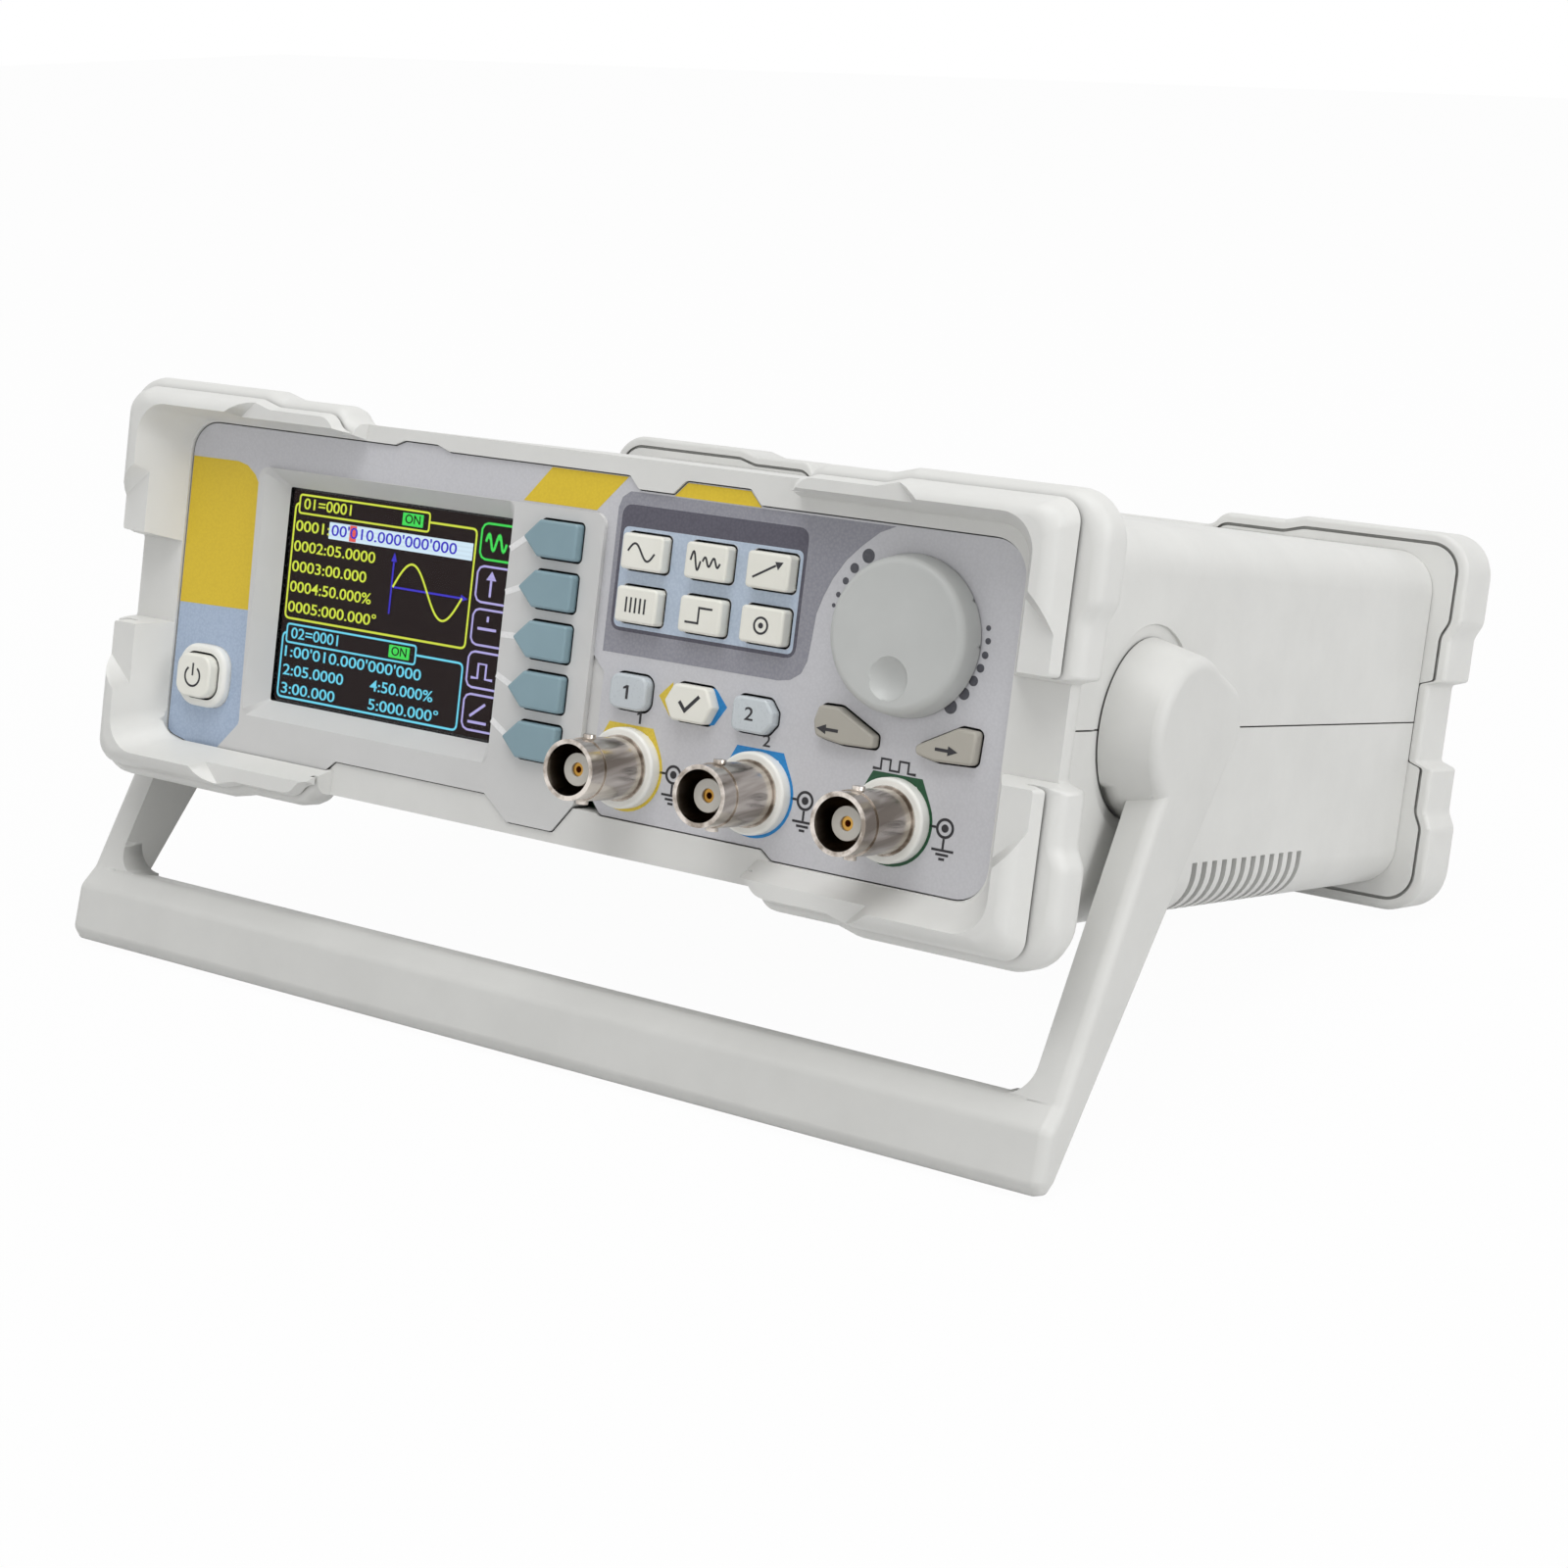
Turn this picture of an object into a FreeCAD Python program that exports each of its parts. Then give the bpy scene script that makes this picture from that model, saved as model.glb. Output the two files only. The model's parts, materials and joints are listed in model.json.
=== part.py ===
import FreeCAD, Part
import math
import os
from FreeCAD import Vector

os.makedirs("parts", exist_ok=True)

# Bench function generator with a fold-down bail. All sizes are in millimetres.
# The pieces are drawn level: X to the right, Y from the front face to the back, Z up,
# with the printed front sheet at Y = 0 and the joint of the two covers at Z = 0.
# At the end the whole object is leant back to stand on its bail and its rear edge.

# Case
case_half_width = 92.0
case_half_height = 31.2
case_corner = 7.5
case_wall = 2.2
case_front = 5.0
case_length = 136.0
seam_gap = 0.2
tongue_length = 4.5
tongue_fit = 0.1

# Bezels and their corner bumpers
bezel_depth = 14.4
ring_face = -0.5
ring_half_width = 94.0
ring_half_height = 31.6
bumper_half_width = 98.3
bumper_half_height = 35.4
bumper_step = 1.4
bumper_corner = 7.5
step_round = 3.4
bumper_round = 3.0
tier_round = 2.2
side_gap_half = 7.2
side_step_end = 16.4
side_full_start = 19.2
top_gap_half = 46.0
top_step_end = 61.0
top_full_start = 65.0
tier_front = -3.5
lip_reach = 9.0
lip_back = -4.1
lip_inset_side = 4.3
lip_inset_top = 1.7
lip_draft = 1.4
lip_step_depth = 2.5
lip_round = 1.8
lip_corner = 3.6
lip_core_inset = 1.6
lip_ramp_side = 25.0
lip_ramp_side_slope = 0.9
lip_ramp_top = 73.2
lip_ramp_top_slope = 1.0
flare_half_width = 89.6
flare_half_height = 30.5
flare_round = 6.0
bezel_opening_half_width = 82.0
bezel_opening_half_height = 25.3
rear_opening_half_width = 86.0
rear_opening_half_height = 26.5
rear_groove_inset = 1.9
rear_groove_width = 0.6
rear_groove_depth = 0.8

# Front panel, printed sheet and screen
sheet_thickness = 0.3
panel_thickness = 2.5
sheet_half_width = 84.3
sheet_top_left = 28.6
sheet_top_right = 26.6
sheet_corner = 5.5
sheet_gap = 0.2
plateau_face = -0.9
screen_x = -38.3
screen_z = 0.6
screen_width = 48.96
screen_height = 36.72
window_flare = 2.9
window_thickness = 0.8
lcd_thickness = 3.4

# Keys
key_clearance = 0.35
key_travel = 0.6
key_flange = 0.8
key_flange_thickness = 1.0
key_edge = 0.5
stem_radius = 1.7
running_gap = 0.3
power_travel = 2.4
soft_key_pitch = 8.19
soft_key_top = 17.0
switch_height = 3.5
power_switch_height = 5.0
board_face = 12.0
board_thickness = 1.6
panel_post_radius = 2.2

# Knob and encoder
knob_x = 66.0
knob_z = 10.5
knob_radius = 12.3
knob_face_radius = 11.7
knob_height = 4.5
knob_wall = 2.6
dimple_radius = 4.5
dimple_depth = 1.5
dimple_x = 65.8
dimple_z = 4.0
shaft_radius = 3.0
shaft_fit = 0.05

# Jacks
jack_x = 17.0
jack_pitch = 24.95
jack_z = -17.2
jack_length = 15.3
jack_radius = 4.8
jack_nose = 3.4
jack_shoulder = 0.2
jack_bore = 4.06
collar_radius = 6.5
collar_thickness = 2.2
jack_block = 13.6

# Bail
pivot_y = 28.9
hub_radius = 14.2
hub_face_radius = 12.1
hub_round = 2.2
hub_recess_radius = 16.2
hub_recess_depth = 0.6
arm_inner = 95.0
arm_outer = 101.0
arm_round = 2.0
bar_web_round = 5.0
pivot_radius = 4.0
pivot_fit = 0.08
bar_bottom = -67.3
bar_height = 13.5

# Rear
rear_panel_offset = 10.8
rear_panel_thickness = 2.0
fan_x = -2.0
fan_size = 40.0
fan_depth = 10.0
fan_fit = 0.05
inlet_x = -62.0
rocker_x = -36.0
usb_x = 34.0
trigger_x = 58.0

# Boards inside
main_board_top = -24.0
power_board_top = -22.0

# Vents
vent_count = 12
vent_pitch = 3.8
vent_width = 1.9
vent_start = 54.1
vent_top = -22.0

# Values that follow from the sizes above
case_back = case_front + case_length
panel_back = sheet_thickness + panel_thickness
rear_bezel_back = case_back + bezel_depth
rear_panel_face = case_back + rear_panel_offset
bar_top = bar_bottom + bar_height
inner_half_width = case_half_width - case_wall
inner_half_height = case_half_height - case_wall
hub_face = case_half_width - hub_recess_depth + running_gap
flange_front = panel_back + running_gap


def box(x0, x1, y0, y1, z0, z1):
    return Part.makeBox(x1 - x0, y1 - y0, z1 - z0, Vector(x0, y0, z0))


def rod(x, z, radius, y0, y1):
    return Part.makeCylinder(radius, y1 - y0, Vector(x, y0, z), Vector(0, 1, 0))


def post(x, y, radius, z0, z1):
    return Part.makeCylinder(radius, z1 - z0, Vector(x, y, z0), Vector(0, 0, 1))


def axle(y, z, radius, x0, x1):
    return Part.makeCylinder(radius, x1 - x0, Vector(x0, y, z), Vector(1, 0, 0))


def rounded_wire(points, y):
    """Closed outline in the XZ plane; each point is (x, z, corner radius)."""
    count = len(points)
    corners = []
    for i in range(count):
        x, z, radius = points[i]
        here = Vector(x, y, z)
        before = Vector(points[i - 1][0], y, points[i - 1][1]) - here
        after = Vector(points[(i + 1) % count][0], y, points[(i + 1) % count][1]) - here
        before.normalize()
        after.normalize()
        half = before.getAngle(after) / 2
        if radius <= 0 or half > 1.56:
            corners.append((here, None, here))
            continue
        reach = radius / math.tan(half)
        inward = before + after
        inward.normalize()
        centre = here + inward * (radius / math.sin(half))
        corners.append((here + before * reach, centre - inward * radius, here + after * reach))
    edges = []
    for i in range(count):
        first, middle, last = corners[i]
        if middle is not None:
            edges.append(Part.Arc(first, middle, last).toShape())
        following = corners[(i + 1) % count][0]
        if last.distanceToPoint(following) > 1e-6:
            edges.append(Part.makeLine(last, following))
    return Part.Wire(edges)


def prism(points, y0, y1):
    return Part.Face(rounded_wire(points, y0)).extrude(Vector(0, y1 - y0, 0))


def rectangle(x0, x1, z0, z1, radius):
    return [(x0, z0, radius), (x1, z0, radius), (x1, z1, radius), (x0, z1, radius)]


def centred(half_width, half_height, radius):
    return rectangle(-half_width, half_width, -half_height, half_height, radius)


def loft(sections):
    """Straight-sided loft through (outline, y) sections of the same kind."""
    return Part.makeLoft([rounded_wire(points, y) for points, y in sections], True, True)


def both_sides(shape):
    return [shape, shape.mirror(Vector(0, 0, 0), Vector(1, 0, 0))]


def fuse_all(shapes):
    joined = shapes[0]
    if len(shapes) > 1:
        joined = joined.fuse(shapes[1:])
    return joined.removeSplitter()


def side_profile(points, x0, x1):
    """Outline given in (y, z), carried along X."""
    wire = Part.makePolygon([Vector(x0, y, z) for y, z in points + points[:1]])
    return Part.Face(wire).extrude(Vector(x1 - x0, 0, 0))


def soften(shape, edges, radius):
    return shape.makeFillet(radius, edges) if edges else shape


def edges_on_plane(shape, y):
    found = []
    for edge in shape.Edges:
        bounds = edge.BoundBox
        if abs(bounds.YMin - y) < 1e-4 and abs(bounds.YMax - y) < 1e-4:
            found.append(edge)
    return found


# Bezels


def bumper_outline(side_inset, top_inset, side_step, corner):
    """Bezel outline: stepped bumpers at the corners, lower edges between them."""
    full_w = bumper_half_width - side_inset
    full_h = bumper_half_height - top_inset
    low_w = ring_half_width - side_inset
    low_h = ring_half_height - top_inset
    step_h = full_h - 0.75 * bumper_step
    upper = [
        (low_w, side_gap_half, 0.7),
        (full_w - side_step, side_gap_half + 1.0, 0.7),
        (full_w - side_step, side_step_end, step_round),
        (full_w, side_full_start, step_round),
        (full_w, full_h, corner),
        (top_full_start, full_h, step_round),
        (top_step_end, step_h, step_round),
        (top_gap_half + 2.0, step_h, step_round),
        (top_gap_half, low_h, step_round),
    ]
    if side_step == 0:
        upper = upper[:2] + upper[4:]
    lower = [(x, -z, r) for x, z, r in reversed(upper)]
    right = lower + upper
    left = [(-x, z, r) for x, z, r in reversed(right)]
    return right + left


def bumper_ring(side_inset, top_inset, side_step, corner, y0, y1, front_round, back_round, draft=0):
    """Slab with the bumper outline, rounded at front and back, narrowed by draft at the front."""
    def section(y, pull):
        more = pull + draft * (y1 - y) / (y1 - y0)
        return bumper_outline(side_inset + more, top_inset + more, side_step, corner), y

    sections = []
    if front_round > 0:
        for degrees in (90, 60, 30, 0):
            angle = math.radians(degrees)
            pull = front_round * (1 - math.cos(angle))
            sections.append(section(y0 + front_round * (1 - math.sin(angle)), pull))
    else:
        sections.append(section(y0, 0))
    if back_round > 0:
        for degrees in (0, 30, 60, 90):
            angle = math.radians(degrees)
            pull = back_round * (1 - math.cos(angle))
            sections.append(section(y1 - back_round * (1 - math.sin(angle)), pull))
    else:
        sections.append(section(y1, 0))
    return loft(sections)


def ramp_face(start, slope, offset, make_point):
    """Trapezium of the lowered lip's cutter at one distance outwards."""
    front = -lip_reach - 1.0
    middle = -lip_reach + lip_step_depth
    full = start - slope * offset + 1.0
    low = full - (middle - front)
    corners = [(-full, front), (-low, middle), (low, middle), (full, front)]
    points = [make_point(along, y) for along, y in corners]
    return Part.makePolygon(points + points[:1])


def cut_gaps(shape):
    """Removes the lips between the bumpers and lowers their ends down to slanting ramps."""
    front = -lip_reach - 1.0
    middle = -lip_reach + lip_step_depth
    side_x = sheet_half_width - 0.3
    side_ramp = Part.makeLoft([
        ramp_face(lip_ramp_side, lip_ramp_side_slope, reach,
                  lambda z, y, x=side_x + reach: Vector(x, y, z)) for reach in (0.0, 14.0)
    ], True, True)
    top_z = 27.0
    top_ramp = Part.makeLoft([
        ramp_face(lip_ramp_top, lip_ramp_top_slope, reach,
                  lambda x, y, z=top_z + reach: Vector(x, y, z)) for reach in (0.0, 10.0)
    ], True, True)
    blocks = both_sides(side_ramp)
    blocks += [top_ramp, top_ramp.mirror(Vector(0, 0, 0), Vector(0, 0, 1))]

    def notch(low):
        return [(-low - 1.0, front), (-low - 1.0, middle), (-low, ring_face),
                (low, ring_face), (low + 1.0, middle), (low + 1.0, front)]

    side = [Vector(0, y, z) for z, y in notch(side_gap_half)]
    side_block = Part.Face(Part.makePolygon(side + side[:1])).extrude(Vector(25, 0, 0))
    side_block.translate(Vector(sheet_half_width - 8, 0, 0))
    top = [Vector(x, y, 0) for x, y in notch(top_gap_half - 2.0)]
    top_block = Part.Face(Part.makePolygon(top + top[:1])).extrude(Vector(0, 0, 20))
    top_block.translate(Vector(0, 0, sheet_top_right - 4))
    blocks += both_sides(side_block)
    blocks += [top_block, top_block.mirror(Vector(0, 0, 0), Vector(0, 0, 1))]
    return shape.cut(blocks)


def case_tongue(y0, y1):
    """Short tube that the covers slide over, on the inner side of each bezel."""
    half_w = inner_half_width - tongue_fit
    half_h = inner_half_height - tongue_fit
    corner = case_corner - case_wall
    outer = prism(centred(half_w, half_h, corner), y0, y1)
    return outer.cut(prism(centred(half_w - 2.0, half_h - 2.0, corner - 1.5), y0 - 1, y1 + 1))


def front_bezel():
    back_tier = bumper_ring(0, 0, bumper_step, bumper_corner, tier_front, case_front,
                            tier_round, bumper_round)
    lip_tier = bumper_ring(lip_inset_side, lip_inset_top, 0, lip_corner, -lip_reach, lip_back,
                           lip_round, 0, lip_draft)
    core = bumper_ring(lip_inset_side + lip_core_inset, lip_inset_top + lip_core_inset, 0,
                       lip_corner, lip_back - 1.0, tier_front + 1.0, 0, 0)
    body = cut_gaps(back_tier.fuse([lip_tier, core]))
    flare = loft([
        (centred(flare_half_width + 0.9, flare_half_height + 0.6, flare_round), -lip_reach - 1.5),
        (rectangle(-sheet_half_width - 0.3, sheet_half_width + 0.3, -27.3, 28.9, 5.0), ring_face),
    ])
    opening = prism(centred(bezel_opening_half_width, bezel_opening_half_height, 2.0),
                    ring_face - 1, case_front + 1)
    pockets = [panel_corner(plateau_face - 0.3)]
    for points in (sheet_points, plateau_points):
        pocket = Part.Face(key_outline(points, sheet_gap))
        pocket = pocket.extrude(Vector(0, panel_back - plateau_face + 0.3, 0))
        pocket.translate(Vector(0, plateau_face - 0.3, 0))
        pockets.append(pocket)
    body = body.cut([flare, opening] + pockets)
    return fuse_all([body, case_tongue(case_front - 0.5, case_front + tongue_length)])


def rear_bezel():
    body = bumper_ring(0, 0, bumper_step, bumper_corner, case_back, rear_bezel_back, 1.0, bumper_round)
    outer = rear_groove_inset
    inner = rear_groove_inset + rear_groove_width
    groove = prism(bumper_outline(outer, outer, bumper_step, bumper_corner - outer),
                   case_back - 1, case_back + rear_groove_depth)
    groove = groove.cut(prism(bumper_outline(inner, inner, bumper_step, bumper_corner - inner),
                              case_back - 2, case_back + rear_groove_depth + 1))
    opening = prism(centred(rear_opening_half_width - 2, rear_opening_half_height - 2, 3.0),
                    case_back - 1, rear_bezel_back + 1)
    pocket = prism(centred(rear_opening_half_width, rear_opening_half_height, 4.0),
                   rear_panel_face - rear_panel_thickness, rear_bezel_back + 1)
    body = body.cut([groove, opening, pocket])
    seat_y = rear_panel_face - rear_panel_thickness
    bosses = [rod(x, z, 3.4, case_back + 1.0, seat_y) for x, z in rear_screws]
    pilots = [rod(x, z, 1.5, seat_y - 2.0, seat_y + 1) for x, z in rear_screws]
    tongue = case_tongue(case_back - tongue_length, case_back + 0.5)
    return fuse_all([body, tongue] + bosses).cut(pilots)


# Front panel and printed sheet

sheet_points = [
    (-sheet_half_width, -26.6, 1.5), (-76.4, -28.5, 1.5), (-72.3, -28.5, 0), (-60.0, -15.0, 0),
    (5.0, -15.0, 0), (5.0, -0.3, 0), (8.0, -0.3, 0), (10.4, -2.7, 0.8), (10.4, -22.8, 1.0),
    (12.8, -25.5, 1.2), (44.3, -25.5, 1.0), (46.3, -27.0, 1.0), (sheet_half_width, -27.0, 5.3),
    (sheet_half_width, sheet_top_right, sheet_corner),
    (37.0, sheet_top_right, 0.8), (34.8, 28.9, 0.8), (22.6, 28.9, 0.8),
    (20.3, sheet_top_right, 0.8), (13.5, sheet_top_right, 0.8), (11.5, sheet_top_left, 0.8),
    (-25.9, sheet_top_left, 0.4), (-28.6, 29.5, 0.4), (-35.7, 29.5, 0.4),
    (-37.8, sheet_top_left, 0.4), (-sheet_half_width, sheet_top_left, sheet_corner),
]

plateau_points = [
    (-72.1, -28.7, 0.8), (-46.5, -28.7, 0.8), (-43.5, -25.8, 0.8), (-10.4, -25.8, 0.8),
    (-5.2, -29.7, 0.8), (4.0, -29.7, 0.8), (8.0, -24.6, 1.0), (8.0, 22.2, 2.0),
    (-67.5, 22.2, 2.0), (-66.5, -22.7, 1.5),
]


def panel_corner(front):
    """Part of the panel between the screen surround and the sheet."""
    return box(4.0, 10.5, front, panel_back, -22.8, -0.3)


def panel_blank(plateau_y, sheet_y):
    """Outer form of the front panel with its raised screen surround."""
    plate = prism(sheet_points, sheet_y, panel_back)
    plateau = prism(plateau_points, plateau_y, panel_back)
    return fuse_all([plate, plateau, panel_corner(sheet_y)])


def key_outline(points, grow):
    """Key outline moved outwards by grow (negative for inwards)."""
    wire = rounded_wire(points, 0)
    if abs(grow) < 1e-9:
        return wire
    return wire.makeOffset2D(grow, 2)


def key_list():
    """Every key as name, outline, face height, kind."""
    keys = []
    for i in range(5):
        z = soft_key_top - i * soft_key_pitch
        outline = [(-7.0, z, 0.3), (-3.9, z - 3.0, 0.5), (3.9, z - 3.0, 0.6),
                   (3.9, z + 3.0, 0.6), (-3.9, z + 3.0, 0.5)]
        keys.append((f"soft_key_{i + 1}", outline, 2.6))
    for i in range(6):
        x = (16.65, 29.05, 40.7)[i % 3]
        z = (17.05, 8.65)[i // 3]
        outline = rectangle(x - 4.0, x + 4.0, z - 2.85, z + 2.85, 0.7)
        keys.append((f"function_key_{i + 1}", outline, 2.2))
    keys.append(("channel_key_1", rectangle(13.1, 20.3, -7.9, -2.3, 1.6), 1.8))
    ok = [(24.2, -5.2, 0.5), (25.8, -8.1, 1.0), (32.0, -8.1, 1.0), (33.4, -5.2, 0.5),
          (32.0, -2.3, 1.0), (25.8, -2.3, 1.0)]
    keys.append(("ok_key", ok, 2.2))
    channel_2 = [(36.9, -8.0, 1.2), (43.0, -8.0, 1.0), (44.5, -6.2, 0.6), (44.5, -4.4, 0.6),
                 (43.0, -2.5, 1.0), (36.9, -2.5, 1.2)]
    keys.append(("channel_key_2", channel_2, 1.8))
    left = [(51.9, -4.3, 0.8), (52.5, -6.6, 1.0), (56.9, -7.2, 1.0), (62.8, -7.0, 0.6),
            (62.8, -5.1, 0.6), (56.0, -1.7, 1.5), (52.6, -1.8, 0.8)]
    keys.append(("arrow_key_left", left, 1.8))
    right = [(70.2, -5.3, 0.6), (70.3, -6.6, 0.8), (73.7, -7.2, 0.8), (80.2, -6.9, 0.8),
             (80.4, -1.8, 0.8), (77.1, -1.7, 0.8)]
    keys.append(("arrow_key_right", right, 1.8))
    return keys


power_x = -76.0
power_z = -15.6
power_outline = rectangle(power_x - 4.0, power_x + 4.0, power_z - 3.8, power_z + 3.8, 2.4)


def key_centre(points):
    xs = [x for x, z, r in points]
    zs = [z for x, z, r in points]
    return (min(xs) + max(xs)) / 2, (min(zs) + max(zs)) / 2


def front_panel():
    blank = panel_blank(plateau_face, sheet_thickness)
    half_w = screen_width / 2 + 0.3
    half_h = screen_height / 2 + 0.3
    slope = loft([
        (rectangle(screen_x - half_w - window_flare, screen_x + half_w + window_flare,
                   screen_z - half_h - window_flare, screen_z + half_h + window_flare, 1.2),
         plateau_face - 0.01),
        (rectangle(screen_x - half_w, screen_x + half_w, screen_z - half_h,
                   screen_z + half_h, 0.4), panel_back + 0.01),
    ])
    holes = [slope]
    for name, outline, height in key_list():
        ring = Part.Face(key_outline(outline, key_clearance))
        ring.translate(Vector(0, plateau_face - 1, 0))
        holes.append(ring.extrude(Vector(0, panel_back - plateau_face + 2, 0)))
    power_hole = Part.Face(key_outline(power_outline, key_clearance))
    power_hole.translate(Vector(0, plateau_face - 1, 0))
    holes.append(power_hole.extrude(Vector(0, panel_back - plateau_face + 2, 0)))
    holes.append(rod(knob_x, knob_z, shaft_radius + 0.7, -1, panel_back + 1))
    for i in range(3):
        holes.append(rod(jack_x + i * jack_pitch, jack_z, 5.0, -1, panel_back + 1))
    posts = []
    for x, z in board_posts:
        posts.append(rod(x, z, panel_post_radius, panel_back - 0.5, board_face))
    return fuse_all([blank.cut(holes)] + posts)


board_posts = [(-79.2, 22.0), (-79.2, 0.0), (8.3, 22.8), (8.3, -8.0), (79.0, 22.0), (79.0, 3.5),
               (53.5, 20.0)]


def panel_sheet():
    sheet = prism(sheet_points, 0, sheet_thickness)
    cuts = [prism(plateau_points, -1, 1)]
    for name, outline, height in key_list():
        ring = Part.Face(key_outline(outline, key_clearance))
        ring.translate(Vector(0, -1, 0))
        cuts.append(ring.extrude(Vector(0, 2, 0)))
    power_hole = Part.Face(key_outline(power_outline, 1.7))
    power_hole.translate(Vector(0, -1, 0))
    cuts.append(power_hole.extrude(Vector(0, 2, 0)))
    cuts.append(rod(knob_x, knob_z, shaft_radius + 0.9, -1, 1))
    for i in range(3):
        cuts.append(rod(jack_x + i * jack_pitch, jack_z, 5.0, -1, 1))
    return sheet.cut(cuts)


def power_key_ring():
    """Raised oval collar round the power key."""
    outer = Part.Face(key_outline(power_outline, 1.7)).extrude(Vector(0, 1.9, 0))
    outer.translate(Vector(0, -1.6, 0))
    outer = soften(outer, edges_on_plane(outer, -1.6), 0.8)
    inner = Part.Face(key_outline(power_outline, key_clearance)).extrude(Vector(0, 4, 0))
    inner.translate(Vector(0, -2, 0))
    return outer.cut(inner)


def key_solid(outline, height, stem_end):
    """Key cap, its retaining flange behind the panel and its stem."""
    cap = Part.Face(key_outline(outline, 0)).extrude(Vector(0, height + flange_front, 0))
    cap.translate(Vector(0, -height, 0))
    cap = soften(cap, edges_on_plane(cap, -height), key_edge)
    flange = Part.Face(key_outline(outline, key_flange))
    flange = flange.extrude(Vector(0, key_flange_thickness, 0))
    flange.translate(Vector(0, flange_front, 0))
    x, z = key_centre(outline)
    stem = rod(x, z, stem_radius, flange_front, stem_end)
    return fuse_all([cap, flange, stem])


def switch_body(x, z, front, half, travel):
    """Switch on the key board, with the well that the key's stem enters."""
    body = box(x - half, x + half, front, board_face, z - half, z + half)
    return body.cut(rod(x, z, stem_radius + running_gap, front - 1, front + 0.7 + travel + running_gap))


def key_switches():
    bodies = []
    front = board_face - switch_height
    for name, outline, height in key_list():
        x, z = key_centre(outline)
        bodies.append(switch_body(x, z, front, 2.9, key_travel))
    bodies.append(switch_body(power_x, power_z, board_face - power_switch_height, 3.9, power_travel))
    return Part.makeCompound(bodies)


def key_board():
    outline = [(-82.0, -21.5, 1.0), (9.5, -21.5, 1.0), (9.5, -10.2, 0), (82.0, -10.2, 1.0),
               (82.0, 25.0, 1.0), (-82.0, 25.0, 1.0)]
    board = prism(outline, board_face, board_face + board_thickness)
    return board


def screen_window():
    return box(screen_x - 26.5, screen_x + 26.5, panel_back, panel_back + window_thickness,
               screen_z - 20.2, screen_z + 20.2)


def lcd_module():
    front = panel_back + window_thickness
    glass = box(screen_x - 28.0, screen_x + 28.0, front, front + lcd_thickness,
                screen_z - 21.2, screen_z + 21.2)
    back = front + lcd_thickness
    pads = []
    for x in (screen_x - 22, screen_x + 22):
        pads.append(box(x - 3, x + 3, back, board_face, screen_z - 15, screen_z + 15))
    return fuse_all([glass] + pads)


def encoder():
    body = box(knob_x - 6.2, knob_x + 6.2, 6.0, board_face, knob_z - 6.6, knob_z + 6.6)
    bush = rod(knob_x, knob_z, 3.5, panel_back + 0.2, 6.0)
    bore = rod(knob_x, knob_z, shaft_radius + shaft_fit, panel_back, board_face - 1.0)
    return fuse_all([body, bush]).cut(bore)


def encoder_shaft():
    return rod(knob_x, knob_z, shaft_radius, -knob_height + 1.3, board_face - 1.6)


def knob():
    """Shallow turned knob with a finger dimple, hollow behind with a boss for the shaft."""
    back = -running_gap
    front = -knob_height
    wire = Part.Wire([
        Part.makeLine(Vector(0, back, 0), Vector(knob_radius, back, 0)),
        Part.makeLine(Vector(knob_radius, back, 0), Vector(knob_face_radius + 0.1, front + 1.2, 0)),
        Part.Arc(Vector(knob_face_radius + 0.1, front + 1.2, 0),
                 Vector(knob_face_radius - 0.35, front + 0.35, 0),
                 Vector(knob_face_radius - 1.2, front, 0)).toShape(),
        Part.makeLine(Vector(knob_face_radius - 1.2, front, 0), Vector(0, front, 0)),
        Part.makeLine(Vector(0, front, 0), Vector(0, back, 0)),
    ])
    body = Part.Face(wire).revolve(Vector(0, 0, 0), Vector(0, 1, 0), 360)
    body.translate(Vector(knob_x, 0, knob_z))
    hollow = rod(knob_x, knob_z, knob_radius - 2.0, front + knob_wall, back + 1)
    hollow = hollow.cut(rod(knob_x, knob_z, shaft_radius + 1.6, front, back + 1))
    bore = rod(knob_x, knob_z, shaft_radius, front + 1.3, back + 1)
    dimple = Part.makeSphere(dimple_radius,
                             Vector(dimple_x, front - dimple_radius + dimple_depth, dimple_z))
    return body.cut([hollow, bore, dimple])


# Jacks


def jack_shell(x, z, direction, seat):
    """Bayonet jack: barrel with two lugs, flange, threaded rear and its square block."""
    def at(distance):
        return seat + direction * distance

    def ring(radius, start, end):
        low = min(at(start), at(end))
        high = max(at(start), at(end))
        return rod(x, z, radius, low, high)

    barrel = ring(jack_radius + jack_shoulder, 0, jack_length - jack_nose)
    nose = ring(jack_radius, 0, jack_length)
    root = ring(jack_radius + 0.5, 0, collar_thickness + 0.3)
    rear = ring(4.7, -panel_back - 2.0, 0)
    lugs = Part.makeCylinder(1.0, 2 * jack_radius + 1.4,
                             Vector(x, at(jack_length - 4.6), z - jack_radius - 0.7), Vector(0, 0, 1))
    near = min(at(-panel_back), at(-panel_back - jack_block))
    block = box(x - jack_block / 2, x + jack_block / 2, near, near + jack_block,
                z - jack_block / 2, z + jack_block / 2)
    body = fuse_all([barrel, nose, root, rear, lugs, block])
    return body.cut([ring(jack_bore, jack_length - 8.5, jack_length + 1),
                     ring(2.6, -panel_back - jack_block + 2.0, jack_length - 8.0)])


def jack_insulator(x, z, direction, seat):
    def at(distance):
        return seat + direction * distance
    low = min(at(-panel_back - jack_block + 2.0), at(jack_length - 2.4))
    high = max(at(-panel_back - jack_block + 2.0), at(jack_length - 2.4))
    body = rod(x, z, 2.6, low, high)
    return body.cut(rod(x, z, 1.1, low - 1, high + 1))


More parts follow.
